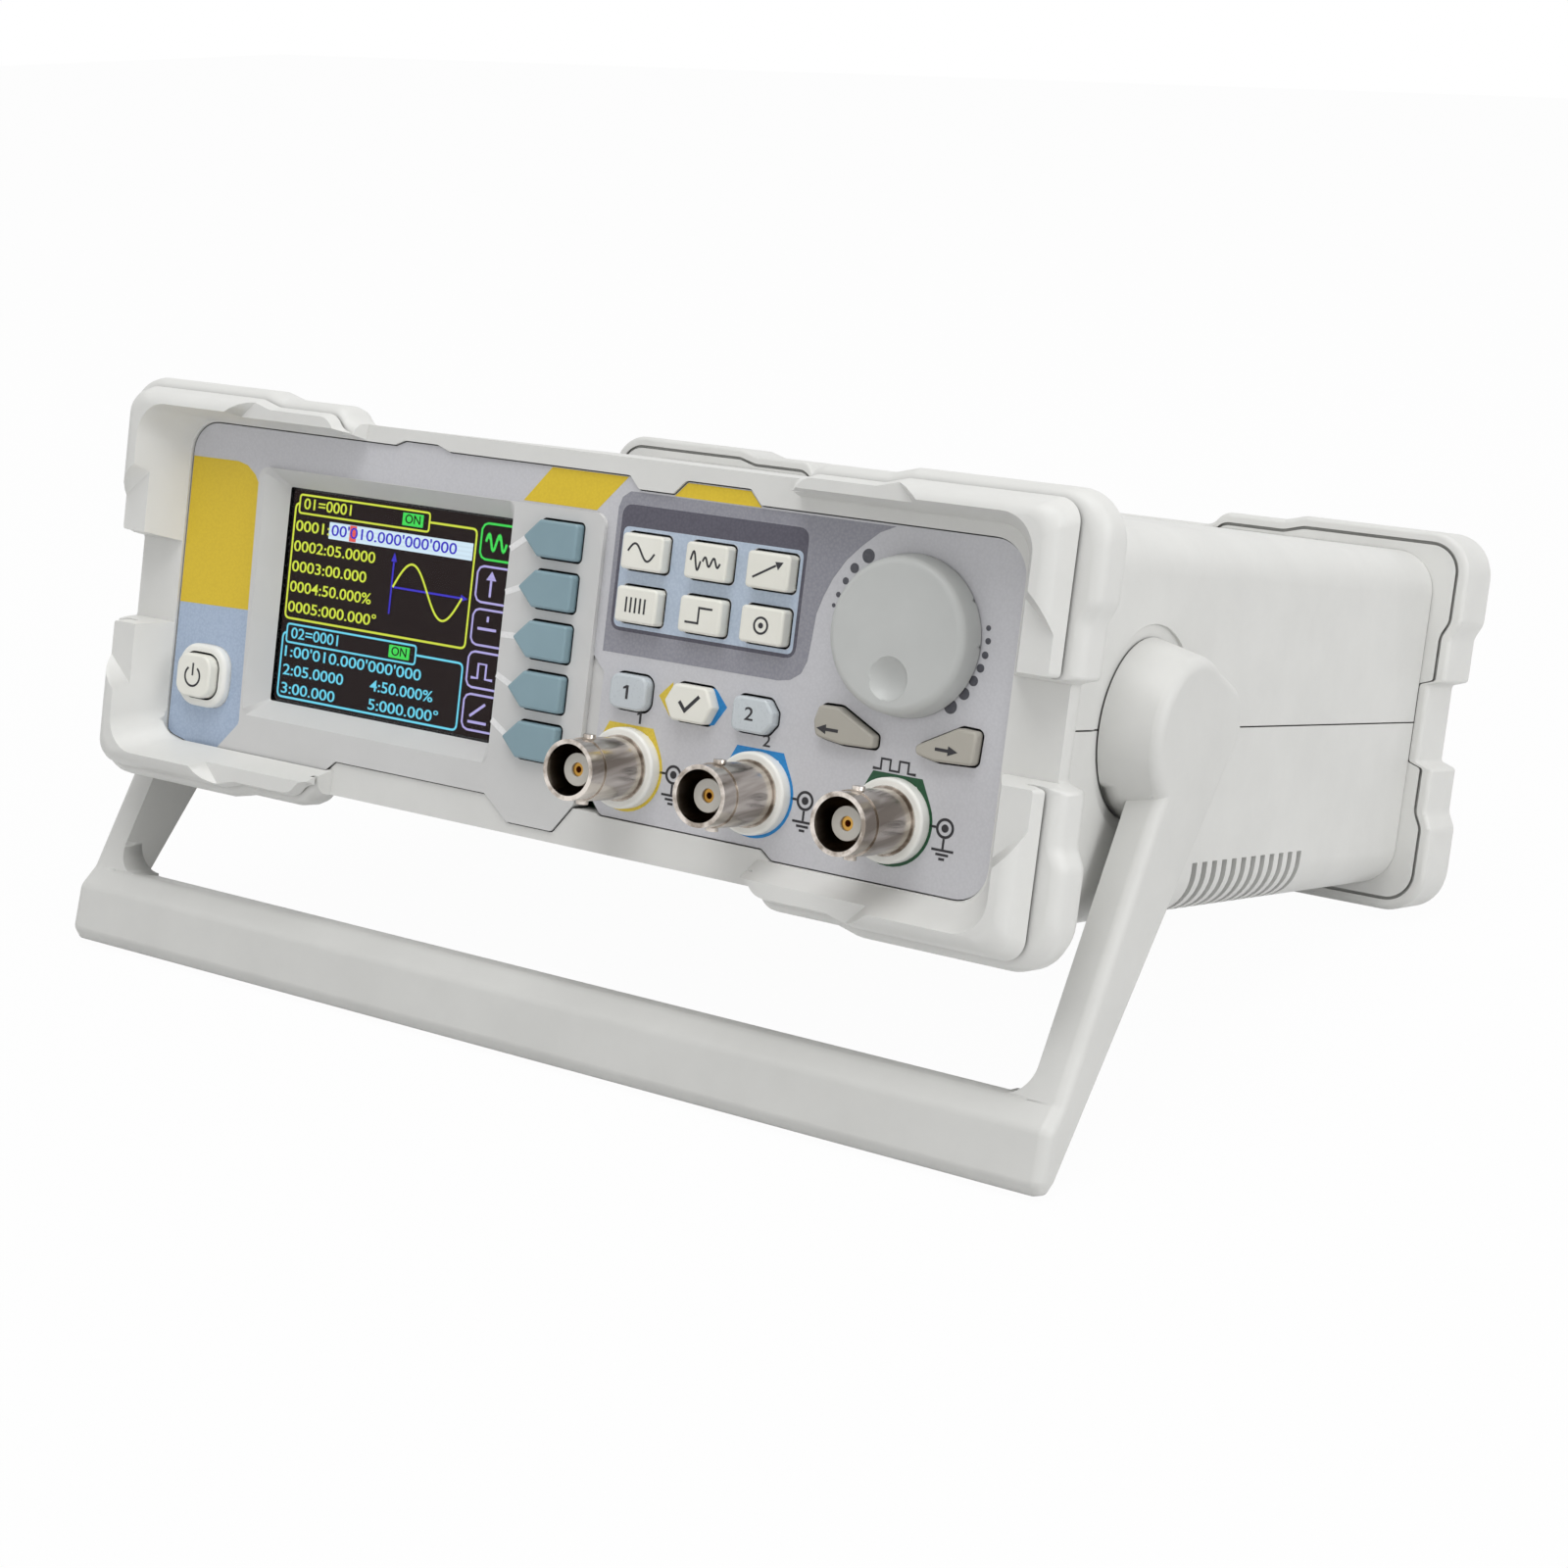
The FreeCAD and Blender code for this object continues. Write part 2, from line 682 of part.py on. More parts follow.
def jack_contact(x, z, direction, seat):
    def at(distance):
        return seat + direction * distance
    low = min(at(-panel_back - jack_block + 2.0), at(jack_length - 2.8))
    high = max(at(-panel_back - jack_block + 2.0), at(jack_length - 2.8))
    body = rod(x, z, 1.1, low, high)
    tip = min(at(jack_length - 7), at(jack_length - 2))
    return body.cut(rod(x, z, 0.5, tip, tip + 5))


def jack_collar(x, z):
    body = rod(x, z, collar_radius, -collar_thickness, 0)
    body = soften(body, edges_on_plane(body, -collar_thickness), 0.5)
    return body.cut(rod(x, z, jack_radius + 0.5, -collar_thickness - 1, 1))


def front_jack_places():
    return [(jack_x + i * jack_pitch, jack_z) for i in range(3)]


# Case covers


def case_tube():
    outer = prism(centred(case_half_width, case_half_height, case_corner), case_front, case_back)
    inner = prism(centred(inner_half_width, inner_half_height, case_corner - case_wall),
                  case_front - 1, case_back + 1)
    return outer.cut(inner)


def pivot_cuts():
    recess = axle(pivot_y, 0, hub_recess_radius, case_half_width - hub_recess_depth,
                  case_half_width + 1)
    hole = axle(pivot_y, 0, pivot_radius + pivot_fit, inner_half_width - 1, case_half_width + 1)
    return both_sides(recess) + both_sides(hole)


cover_screws = [(-76.0, 42.0), (76.0, 42.0), (-76.0, 130.0), (76.0, 130.0)]
screw_post_radius = 3.4
screw_radius = 1.4


def top_cover():
    half = box(-200, 200, -200, 200, seam_gap / 2, 200)
    body = case_tube().common(half)
    posts = [post(x, y, screw_post_radius, seam_gap / 2, inner_half_height + 0.5)
             for x, y in cover_screws]
    pilots = [post(x, y, screw_radius, -1, 14.0) for x, y in cover_screws]
    ribs = [box(x - 0.7, x + 0.7, case_front + 8, case_back - 8, inner_half_height - 2.5,
                inner_half_height + 0.5) for x in (-45, 0, 45)]
    return fuse_all([body] + posts + ribs).cut(pilots + pivot_cuts())


def bottom_cover():
    half = box(-200, 200, -200, 200, -200, -seam_gap / 2)
    body = case_tube().common(half)
    floor = -inner_half_height
    posts = [post(x, y, screw_post_radius, floor - 0.5, -seam_gap / 2) for x, y in cover_screws]
    bosses = [post(x, y, 2.6, floor - 0.5, main_board_top - board_thickness)
              for x, y in main_board_posts]
    bosses += [post(x, y, 2.6, floor - 0.5, power_board_top - board_thickness)
               for x, y in power_board_posts]
    lip_x = inner_half_width - 0.1
    lip = box(lip_x - 1.1, lip_x, pivot_y + 12, case_back - 8, -5.0, 2.6)
    lip_foot = box(lip_x - 1.1, lip_x + 0.6, pivot_y + 12, case_back - 8, -5.0, -1.0)
    lips = both_sides(fuse_all([lip, lip_foot]))
    cuts = pivot_cuts()
    for x, y in cover_screws:
        cuts.append(post(x, y, screw_radius + 0.3, -200, 1))
        cuts.append(post(x, y, 2.9, -200, floor + 9.0))
    for i in range(vent_count):
        y = vent_start + i * vent_pitch
        slot = box(83.0, case_half_width + 1, y - vent_width / 2, y + vent_width / 2,
                   -case_half_height - 1, vent_top)
        cuts += both_sides(slot)
    return fuse_all([body] + posts + bosses + lips).cut(cuts)


def cover_screw_group():
    screws = []
    head_top = -inner_half_height + 9.0
    for x, y in cover_screws:
        head = post(x, y, 2.6, head_top - 2.4, head_top)
        socket = post(x, y, 1.2, head_top - 3, head_top - 1.2)
        shank = post(x, y, screw_radius, head_top, 8.0)
        screws.append(fuse_all([head, shank]).cut(socket))
    return Part.makeCompound(screws)


# Boards

main_board_posts = [(2.0, 32.0), (70.0, 32.0), (2.0, 124.0), (70.0, 124.0)]
power_board_posts = [(-70.0, 60.0), (-26.0, 60.0), (-70.0, 124.0), (-26.0, 124.0)]


def main_board():
    board = box(-4.0, 76.5, 5.3, 130.0, main_board_top - board_thickness, main_board_top)
    return board.cut([box(72.0, 80.0, 37.5, 46.5, -40, 0), box(72.0, 80.0, 125.5, 135, -40, 0)])


def chip(x, y, half_x, half_y, z0, height):
    return box(x - half_x, x + half_x, y - half_y, y + half_y, z0, z0 + height)


def main_board_parts():
    top = main_board_top
    pieces = [
        chip(36, 66, 10, 10, top, 1.6), chip(14, 62, 5, 7, top, 1.2), chip(60, 60, 7, 5, top, 1.4),
        chip(16, 90, 4, 5, top, 1.2), chip(34, 92, 4, 4, top, 1.2), chip(62, 110, 5, 4, top, 2.0),
        chip(8, 46, 2.4, 5.5, top, 3.2), chip(36, 118, 12, 3, top, 8.5),
    ]
    for x, y in ((20, 44), (32, 44), (44, 44), (56, 44)):
        pieces.append(post(x, y, 2.0, top, top + 5.4))
    for x in (24, 31.5):
        pieces.append(post(x, 104, 3.1, top, top + 7.0))
    return Part.makeCompound(pieces)


def heat_sink():
    """Finned aluminium sink on the output amplifiers."""
    base_z = main_board_top
    base = box(50.0, 72.0, 76.0, 98.0, base_z, base_z + 2.5)
    fins = [box(50.0 + i * 3.4, 51.6 + i * 3.4, 76.0, 98.0, base_z, base_z + 14.0) for i in range(7)]
    return fuse_all([base] + fins)


def power_board():
    return box(-74.0, -22.0, 56.0, 128.0, power_board_top - board_thickness, power_board_top)


def power_board_parts():
    top = power_board_top
    pieces = [
        chip(-48, 92, 13, 11, top, 24.0),
        chip(-48, 70, 8, 5, top, 12.0),
        chip(-64, 118, 5, 5, top, 10.0),
        chip(-30, 118, 4, 6, top, 9.0),
    ]
    for x, y, r, h in ((-67, 84, 5.0, 16.0), (-30, 84, 4.0, 12.0), (-30, 98, 4.0, 12.0)):
        pieces.append(post(x, y, r, top, top + h))
    return Part.makeCompound(pieces)


# Rear panel and what it carries

inlet_z = 0.0
inlet_half_w = 13.8
inlet_half_h = 10.0


def d_opening(x, z, half_w, half_h, y0, y1):
    """Inlet opening with two cut corners."""
    cut = 4.5
    points = [(x - half_w, z - half_h, 0.6), (x + half_w, z - half_h, 0.6),
              (x + half_w, z + half_h - cut, 0.6), (x + half_w - cut, z + half_h, 0.6),
              (x - half_w + cut, z + half_h, 0.6), (x - half_w, z + half_h - cut, 0.6)]
    return prism(points, y0, y1)


def rear_panel():
    y1 = rear_panel_face
    y0 = y1 - rear_panel_thickness
    plate = prism(centred(rear_opening_half_width - 0.1, rear_opening_half_height - 0.1, 4.0), y0, y1)
    cuts = [d_opening(inlet_x, inlet_z, inlet_half_w, inlet_half_h, y0 - 1, y1 + 1)]
    cuts.append(box(rocker_x - 6.6, rocker_x + 6.6, y0 - 1, y1 + 1, -9.7, 9.7))
    cuts.append(box(usb_x - 6.2, usb_x + 6.2, y0 - 1, y1 + 1, -5.6, 5.6))
    cuts.append(rod(trigger_x, 0, 4.9, y0 - 1, y1 + 1))
    for ring in range(4):
        outer = 4.2 * (ring + 1) + 1.6
        inner = outer - 2.4
        band = rod(fan_x, 0, outer, y0 - 1, y1 + 1).cut(rod(fan_x, 0, inner, y0 - 2, y1 + 2))
        band = band.cut([box(fan_x - 1.0, fan_x + 1.0, y0 - 2, y1 + 2, -30, 30),
                         box(fan_x - 30, fan_x + 30, y0 - 2, y1 + 2, -1.0, 1.0)])
        cuts.append(band)
    for x in (fan_x - 16, fan_x + 16):
        for z in (-16, 16):
            cuts.append(rod(x, z, 1.7, y0 - 1, y1 + 1))
    for x, z in rear_screws:
        cuts.append(rod(x, z, 1.6, y0 - 1, y1 + 1))
    return plate.cut(cuts)


rear_screws = [(-83.0, -21.0), (83.0, -21.0), (-83.0, 21.0), (83.0, 21.0)]


def rear_screw_group():
    """Pan-head screws of the rear panel and the fan."""
    screws = []
    y = rear_panel_face
    for x, z in rear_screws:
        head = rod(x, z, 2.8, y, y + 1.8)
        shank = rod(x, z, 1.5, y - rear_panel_thickness - 2.0, y)
        screws.append(fuse_all([head, shank]))
    for x in (fan_x - 16, fan_x + 16):
        for z in (-16, 16):
            head = rod(x, z, 2.8, y, y + 1.8)
            shank = rod(x, z, 1.5, y - rear_panel_thickness - fan_depth, y)
            screws.append(fuse_all([head, shank]))
    slots = [box(x - 2.0, x + 2.0, y + 1.1, y + 3, z - 0.35, z + 0.35)
             for x, z in rear_screws + [(fan_x + a, b) for a in (-16, 16) for b in (-16, 16)]]
    slots += [box(x - 0.35, x + 0.35, y + 1.1, y + 3, z - 2.0, z + 2.0)
              for x, z in rear_screws + [(fan_x + a, b) for a in (-16, 16) for b in (-16, 16)]]
    return Part.makeCompound([screw.cut(slots) for screw in screws])


def fan_frame():
    y1 = rear_panel_face - rear_panel_thickness
    y0 = y1 - fan_depth
    half = fan_size / 2
    frame = prism(rectangle(fan_x - half, fan_x + half, -half, half, 3.0), y0, y1)
    frame = frame.cut(rod(fan_x, 0, half - 1.2, y0 - 1, y1 + 1))
    hub = rod(fan_x, 0, 9.0, y0, y0 + 2.2)
    spokes = []
    for k in range(4):
        arm = box(0, half - 0.5, y0, y0 + 1.6, -1.2, 1.2)
        arm.rotate(Vector(0, 0, 0), Vector(0, 1, 0), 45 + 90 * k)
        arm.translate(Vector(fan_x, 0, 0))
        spokes.append(arm)
    pin = rod(fan_x, 0, 1.5, y0, y0 + 7.0)
    holes = [rod(fan_x + a, b, 1.6, y0 - 1, y1 + 1) for a in (-16, 16) for b in (-16, 16)]
    return fuse_all([frame, hub, pin] + spokes).cut(holes)


def fan_rotor():
    """Seven-bladed rotor on the fan's pin."""
    y1 = rear_panel_face - rear_panel_thickness
    y0 = y1 - fan_depth
    hub = rod(fan_x, 0, 9.5, y0 + 2.8, y1 - 0.8)
    blades = []
    for k in range(7):
        blade = box(8.5, fan_size / 2 - 2.0, -0.5, 0.5, -3.4, 3.4)
        blade.rotate(Vector(0, 0, 0), Vector(1, 0, 0), 48)
        blade.rotate(Vector(0, 0, 0), Vector(0, 1, 0), k * 360.0 / 7)
        blade.translate(Vector(fan_x, (y0 + y1) / 2 + 1.0, 0))
        blades.append(blade)
    bore = rod(fan_x, 0, 1.5 + fan_fit, y0 + 2, y0 + 7.4)
    return fuse_all([hub] + blades).cut(bore)


def mains_inlet():
    """Male appliance inlet with its flange and pin cavity."""
    y1 = rear_panel_face
    body = d_opening(inlet_x, inlet_z, inlet_half_w - 0.1, inlet_half_h - 0.1, y1 - 16.0, y1)
    flange = prism(rectangle(inlet_x - 15.4, inlet_x + 15.4, -11.6, 11.6, 1.5), y1, y1 + 2.2)
    cavity = d_opening(inlet_x, inlet_z, 12.2, 8.4, y1 - 13.0, y1 + 3)
    return fuse_all([body, flange]).cut(cavity)


def inlet_pins():
    y1 = rear_panel_face
    pins = []
    for x, z in ((inlet_x - 7.0, -1.5), (inlet_x + 7.0, -1.5), (inlet_x, 2.5)):
        pins.append(box(x - 1.0, x + 1.0, y1 - 13.0, y1 - 1.5, z - 2.0, z + 2.0))
    return Part.makeCompound(pins)


rocker_pivot_y = rear_panel_face - 2.8
rocker_tilt = 9.0


def switch_housing():
    y1 = rear_panel_face
    body = box(rocker_x - 6.5, rocker_x + 6.5, y1 - 14.0, y1, -9.6, 9.6)
    flange = prism(rectangle(rocker_x - 7.5, rocker_x + 7.5, -10.5, 10.5, 1.0), y1, y1 + 1.6)
    well = box(rocker_x - 5.2, rocker_x + 5.2, y1 - 9.0, y1 + 3, -8.4, 8.4)
    pin = axle(rocker_pivot_y, 0, 1.2, rocker_x - 6.0, rocker_x + 6.0)
    return fuse_all([fuse_all([body, flange]).cut(well), pin])


def rocker_switch():
    """Rocker tilted to one side, pivoting on the pin of its housing."""
    top = rear_panel_face + 3.2
    profile = [(rocker_pivot_y - 3.0, -3.0), (rocker_pivot_y + 1.5, -7.2), (top - 0.6, -7.2),
               (top - 2.0, 0.0), (top - 0.6, 7.2), (rocker_pivot_y + 1.5, 7.2),
               (rocker_pivot_y - 3.0, 3.0)]
    body = side_profile(profile, rocker_x - 4.9, rocker_x + 4.9)
    body = body.cut(axle(rocker_pivot_y, 0, 1.25, rocker_x - 10, rocker_x + 10))
    body.rotate(Vector(rocker_x, rocker_pivot_y, 0), Vector(1, 0, 0), rocker_tilt)
    return body


def usb_socket():
    y1 = rear_panel_face
    shell = box(usb_x - 6.0, usb_x + 6.0, y1 - 16.0, y1 + 0.4, -5.4, 5.4)
    cavity = box(usb_x - 5.3, usb_x + 5.3, y1 - 9.0, y1 + 2, -4.7, 4.7)
    tongue = box(usb_x - 2.8, usb_x + 2.8, y1 - 9.5, y1 - 0.8, -1.6, 1.6)
    pedestal = box(usb_x - 6.0, usb_x + 6.0, y1 - 16.0, y1 - 3.0, main_board_top, -5.0)
    return fuse_all([shell.cut(cavity), tongue, pedestal])


# Bail


foot_points = [
    (-2.2, bar_top - 3.4, 2.5), (-3.0, bar_bottom + 2.1, 1.5), (-1.6, bar_bottom + 0.2, 0),
    (0.3, bar_bottom, 0), (2.2, bar_bottom + 1.4, 0),
]

arm_points = [(25.5, 2.0, 0), (1.0, bar_top, 2.0)] + foot_points + [(49.3, 5.4, 7.0), (33.0, 11.4, 0)]

bar_points = [(1.0, bar_top, 2.0)] + foot_points + [(8.0, bar_top - 3.8, 1.0), (7.0, bar_top - 0.6, 1.0)]


def side_prism(points, x0, x1):
    """Outline given as (y, z, corner radius), carried along X."""
    body = prism(points, -x1, -x0)
    body.rotate(Vector(0, 0, 0), Vector(0, 0, 1), 90)
    return body


def outer_edges(shape):
    return [edge for edge in shape.Edges if abs(edge.BoundBox.XMin - arm_outer) < 1e-3]


def handle():
    """One-piece bail: two tapered arms with round hubs, joined by the front bar."""
    arm = side_prism(arm_points, arm_inner, arm_outer)
    arm = soften(arm, outer_edges(arm), arm_round)
    hub = Part.makeCone(hub_radius, hub_face_radius, arm_outer - hub_face,
                        Vector(hub_face, pivot_y, 0), Vector(1, 0, 0))
    hub = soften(hub, outer_edges(hub), hub_round)
    stub = axle(pivot_y, 0, pivot_radius, inner_half_width - 1.4, hub_face + 0.5)
    web_x = arm_inner - bar_web_round
    web_top = bar_top - 0.2 + bar_web_round
    web = box(web_x, arm_inner + 1, 1.0, 7.0, bar_top - 1.2, web_top)
    web = web.cut(Part.makeCylinder(bar_web_round, 20, Vector(web_x, -5, web_top), Vector(0, 1, 0)))
    web = web.common(side_prism(arm_points, web_x - 1, arm_inner + 2))
    screw_hole = axle(pivot_y, 0, 1.4, inner_half_width - 3, hub_face + 6.0)
    side = fuse_all([arm, hub, stub, web]).cut(screw_hole)
    bar = side_prism(bar_points, -arm_inner - 0.5, arm_inner + 0.5)
    return fuse_all(both_sides(side) + [bar])


def pivot_screws():
    x1 = inner_half_width - 1.4
    head = axle(pivot_y, 0, 5.2, x1 - 2.6, x1)
    shank = axle(pivot_y, 0, 1.4, x1, x1 + 7.0)
    socket = axle(pivot_y, 0, 1.6, x1 - 3.0, x1 - 1.2)
    return Part.makeCompound(both_sides(fuse_all([head, shank]).cut(socket)))


def friction_washers():
    x1 = inner_half_width
    ring = axle(pivot_y, 0, 5.4, x1 - 1.1, x1)
    ring = ring.cut(axle(pivot_y, 0, pivot_radius + 0.3, x1 - 2, x1 + 1))
    return Part.makeCompound(both_sides(ring))


# Every node of the object

nodes = {
    "front_bezel": front_bezel(),
    "rear_bezel": rear_bezel(),
    "top_cover": top_cover(),
    "bottom_cover": bottom_cover(),
    "cover_screws": cover_screw_group(),
    "front_panel": front_panel(),
    "panel_sheet": panel_sheet(),
    "screen_window": screen_window(),
    "lcd_module": lcd_module(),
    "key_board": key_board(),
    "key_switches": key_switches(),
    "encoder": encoder(),
    "encoder_shaft": encoder_shaft(),
    "knob": knob(),
    "power_key_ring": power_key_ring(),
    "main_board": main_board(),
    "main_board_parts": main_board_parts(),
    "heat_sink": heat_sink(),
    "power_board": power_board(),
    "power_board_parts": power_board_parts(),
    "rear_panel": rear_panel(),
    "rear_screws": rear_screw_group(),
    "fan_frame": fan_frame(),
    "fan_rotor": fan_rotor(),
    "mains_inlet": mains_inlet(),
    "inlet_pins": inlet_pins(),
    "switch_housing": switch_housing(),
    "rocker_switch": rocker_switch(),
    "usb_socket": usb_socket(),
    "handle": handle(),
    "pivot_screws": pivot_screws(),
    "friction_washers": friction_washers(),
}

jack_names = ("output_jack_1", "output_jack_2", "counter_jack")
collars = []
insulators = []
contacts = []
for name, (x, z) in zip(jack_names, front_jack_places()):
    nodes[name] = jack_shell(x, z, -1, 0)
    collars.append(jack_collar(x, z))
    insulators.append(jack_insulator(x, z, -1, 0))
    contacts.append(jack_contact(x, z, -1, 0))
nodes["trigger_jack"] = jack_shell(trigger_x, 0, 1, rear_panel_face)
insulators.append(jack_insulator(trigger_x, 0, 1, rear_panel_face))
contacts.append(jack_contact(trigger_x, 0, 1, rear_panel_face))
nodes["jack_collars"] = Part.makeCompound(collars)
nodes["jack_insulators"] = Part.makeCompound(insulators)
nodes["jack_contacts"] = Part.makeCompound(contacts)

stem_end = board_face - switch_height + 0.7
for name, outline, height in key_list():
    nodes[name] = key_solid(outline, height, stem_end)
nodes["power_key"] = key_solid(power_outline, 3.6, board_face - power_switch_height + 0.7)


# Standing pose: leant back on the bail's bar and the rear bezel's lower edge

foot_y = rear_bezel_back - bumper_round
foot_z = -bumper_half_height + bumper_round
bar_y = 0.3
rise = math.atan2(foot_z - bar_bottom, foot_y - bar_y)
reach = math.hypot(foot_z - bar_bottom, foot_y - bar_y)
lean = rise - math.asin(bumper_round / reach)
lift = math.sin(lean) * bar_y - math.cos(lean) * bar_bottom


def stand(shape):
    placed = shape.copy()
    placed.rotate(Vector(0, 0, 0), Vector(1, 0, 0), -math.degrees(lean))
    placed.translate(Vector(0, shift_y, lift))
    return placed


def depth_span():
    low = 1e9
    high = -1e9
    for shape in nodes.values():
        turned = shape.copy()
        turned.rotate(Vector(0, 0, 0), Vector(1, 0, 0), -math.degrees(lean))
        bounds = turned.optimalBoundingBox(False)
        low = min(low, bounds.YMin)
        high = max(high, bounds.YMax)
    return low, high


span = depth_span()
shift_y = -(span[0] + span[1]) / 2

for name, shape in nodes.items():
    stand(shape).exportStep(f"parts/{name}.step")
print("nodes", len(nodes), "lean", round(math.degrees(lean), 3), "shift", round(shift_y, 3),
      "lift", round(lift, 3))
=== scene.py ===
import bpy
import json
import math
from mathutils import Matrix, Vector


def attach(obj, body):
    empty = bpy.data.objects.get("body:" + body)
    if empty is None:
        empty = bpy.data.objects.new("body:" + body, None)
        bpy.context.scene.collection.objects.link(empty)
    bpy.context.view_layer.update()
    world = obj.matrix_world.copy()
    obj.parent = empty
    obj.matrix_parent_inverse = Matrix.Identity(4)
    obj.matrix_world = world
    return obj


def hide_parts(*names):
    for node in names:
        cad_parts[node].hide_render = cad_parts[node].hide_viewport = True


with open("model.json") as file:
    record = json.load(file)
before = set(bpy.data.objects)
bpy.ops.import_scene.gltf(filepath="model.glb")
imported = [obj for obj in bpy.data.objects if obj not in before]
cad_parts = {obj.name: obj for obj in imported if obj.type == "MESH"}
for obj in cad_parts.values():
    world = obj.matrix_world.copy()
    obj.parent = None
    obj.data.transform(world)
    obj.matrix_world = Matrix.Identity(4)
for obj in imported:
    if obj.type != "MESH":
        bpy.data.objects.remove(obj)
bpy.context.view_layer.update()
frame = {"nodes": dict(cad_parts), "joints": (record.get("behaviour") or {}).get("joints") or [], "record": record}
print("frame loaded:", len(frame["nodes"]), "nodes")

# The drawing plane of the front: X to the right, Z up, in millimetres, level,
# with the printed sheet at Y = 0. It is turned into the leaning pose of the row.
knobCentre = (66.0, 0.0, 10.5)
knobJoint = [joint for joint in frame["joints"] if joint["name"] == "knob_turn"][0]
lean = math.atan2(-knobJoint["axis"][2], knobJoint["axis"][1])
levelToRow = (
    Matrix.Translation(Vector(knobJoint["pos_m"]))
    @ Matrix.Rotation(-lean, 4, "X")
    @ Matrix.Scale(0.001, 4)
    @ Matrix.Translation(-Vector(knobCentre))
)
standUp = Matrix.Rotation(math.radians(90), 4, "X")


def rowPoint(x, y, z):
    return levelToRow @ Vector((x, y, z))


def selectOnly(piece):
    bpy.ops.object.select_all(action="DESELECT")
    piece.select_set(True)
    bpy.context.view_layer.objects.active = piece


# Materials


def linear(hexColour):
    channels = []
    for start in (1, 3, 5):
        value = int(hexColour[start:start + 2], 16) / 255
        channels.append(value / 12.92 if value <= 0.04045 else ((value + 0.055) / 1.055) ** 2.4)
    return (*channels, 1.0)


def addNode(tree, kind, settings=None, inputs=None):
    node = tree.nodes.new(kind)
    for key, value in (settings or {}).items():
        setattr(node, key, value)
    for key, value in (inputs or {}).items():
        if isinstance(value, bpy.types.NodeSocket):
            tree.links.new(value, node.inputs[key])
        else:
            node.inputs[key].default_value = value
    return node


def perMetre(millimetres):
    return 1000.0 / millimetres


def startMaterial(name):
    material = bpy.data.materials.new(name)
    material.use_nodes = True
    material.node_tree.nodes.clear()
    return material, material.node_tree


def closeMaterial(tree, shader):
    addNode(tree, "ShaderNodeOutputMaterial", {}, {"Surface": shader.outputs[0]})


flowPatch = 18.0    # size of the faint flow marks of moulded plastic, in mm


def mouldedPlastic(name, light, dark, roughness, grain=0.35, depth=0.03, gap="#1E1E1F"):
    # injection-moulded plastic: spark-eroded grain in the gloss, faint flow and handling marks,
    # and painted shade that darkens narrow gaps and crevices where no light gets in
    material, tree = startMaterial(name)
    place = addNode(tree, "ShaderNodeTexCoord").outputs["Object"]
    cloud = addNode(tree, "ShaderNodeTexNoise", {}, {
        "Vector": place, "Scale": perMetre(flowPatch), "Detail": 4.0, "Roughness": 0.6})
    tone = addNode(tree, "ShaderNodeValToRGB", {}, {"Fac": cloud.outputs["Fac"]})
    tone.color_ramp.elements[0].position = 0.35
    tone.color_ramp.elements[0].color = linear(dark)
    tone.color_ramp.elements[1].position = 0.65
    tone.color_ramp.elements[1].color = linear(light)
    # painted shade: where nearby surfaces close in, the colour turns to the gap shade colour
    crevice = addNode(tree, "ShaderNodeAmbientOcclusion", {"samples": 6}, {"Distance": 0.0016})
    openness = addNode(tree, "ShaderNodeMapRange", {}, {
        "Value": crevice.outputs["AO"], "From Min": 0.22, "From Max": 0.5})
    surface = addNode(tree, "ShaderNodeMix", {"data_type": "RGBA"}, {
        0: openness.outputs["Result"], 6: linear(gap), 7: tone.outputs["Color"]})
    fine = addNode(tree, "ShaderNodeTexNoise", {}, {
        "Vector": place, "Scale": perMetre(grain), "Detail": 3.0, "Roughness": 0.7})
    gloss = addNode(tree, "ShaderNodeMapRange", {}, {
        "Value": fine.outputs["Fac"], "From Min": 0.3, "From Max": 0.7,
        "To Min": roughness - 0.06, "To Max": roughness + 0.06})
    bump = addNode(tree, "ShaderNodeBump", {}, {
        "Height": fine.outputs["Fac"], "Strength": 0.25, "Distance": depth / 1000})
    shader = addNode(tree, "ShaderNodeBsdfPrincipled", {}, {
        "Base Color": surface.outputs[2], "Roughness": gloss.outputs["Result"],
        "IOR": 1.53, "Normal": bump.outputs["Normal"]})
    closeMaterial(tree, shader)
    return material


inkFleck = 0.45    # size of the metallic flecks of the inks, in mm


def printedFilm(name, light, dark, roughness=0.42):
    # screen-printed polyester film: a satin ink with a fine metallic fleck
    material, tree = startMaterial(name)
    place = addNode(tree, "ShaderNodeTexCoord").outputs["Object"]
    flecks = addNode(tree, "ShaderNodeTexVoronoi", {"feature": "F1"}, {
        "Vector": place, "Scale": perMetre(inkFleck), "Randomness": 1.0})
    tone = addNode(tree, "ShaderNodeValToRGB", {}, {"Fac": flecks.outputs["Distance"]})
    tone.color_ramp.elements[0].position = 0.1
    tone.color_ramp.elements[0].color = linear(light)
    tone.color_ramp.elements[1].position = 0.8
    tone.color_ramp.elements[1].color = linear(dark)
    waves = addNode(tree, "ShaderNodeTexNoise", {}, {
        "Vector": place, "Scale": perMetre(9.0), "Detail": 2.0})
    bump = addNode(tree, "ShaderNodeBump", {}, {
        "Height": waves.outputs["Fac"], "Strength": 0.12, "Distance": 0.00004})
    shader = addNode(tree, "ShaderNodeBsdfPrincipled", {}, {
        "Base Color": tone.outputs["Color"], "Roughness": roughness, "IOR": 1.5,
        "Metallic": 0.08, "Normal": bump.outputs["Normal"]})
    closeMaterial(tree, shader)
    return material


lathe = {"pitch": 0.25, "waveTurn": 6.283}    # lathe lines in mm, and a full turn of the wave node


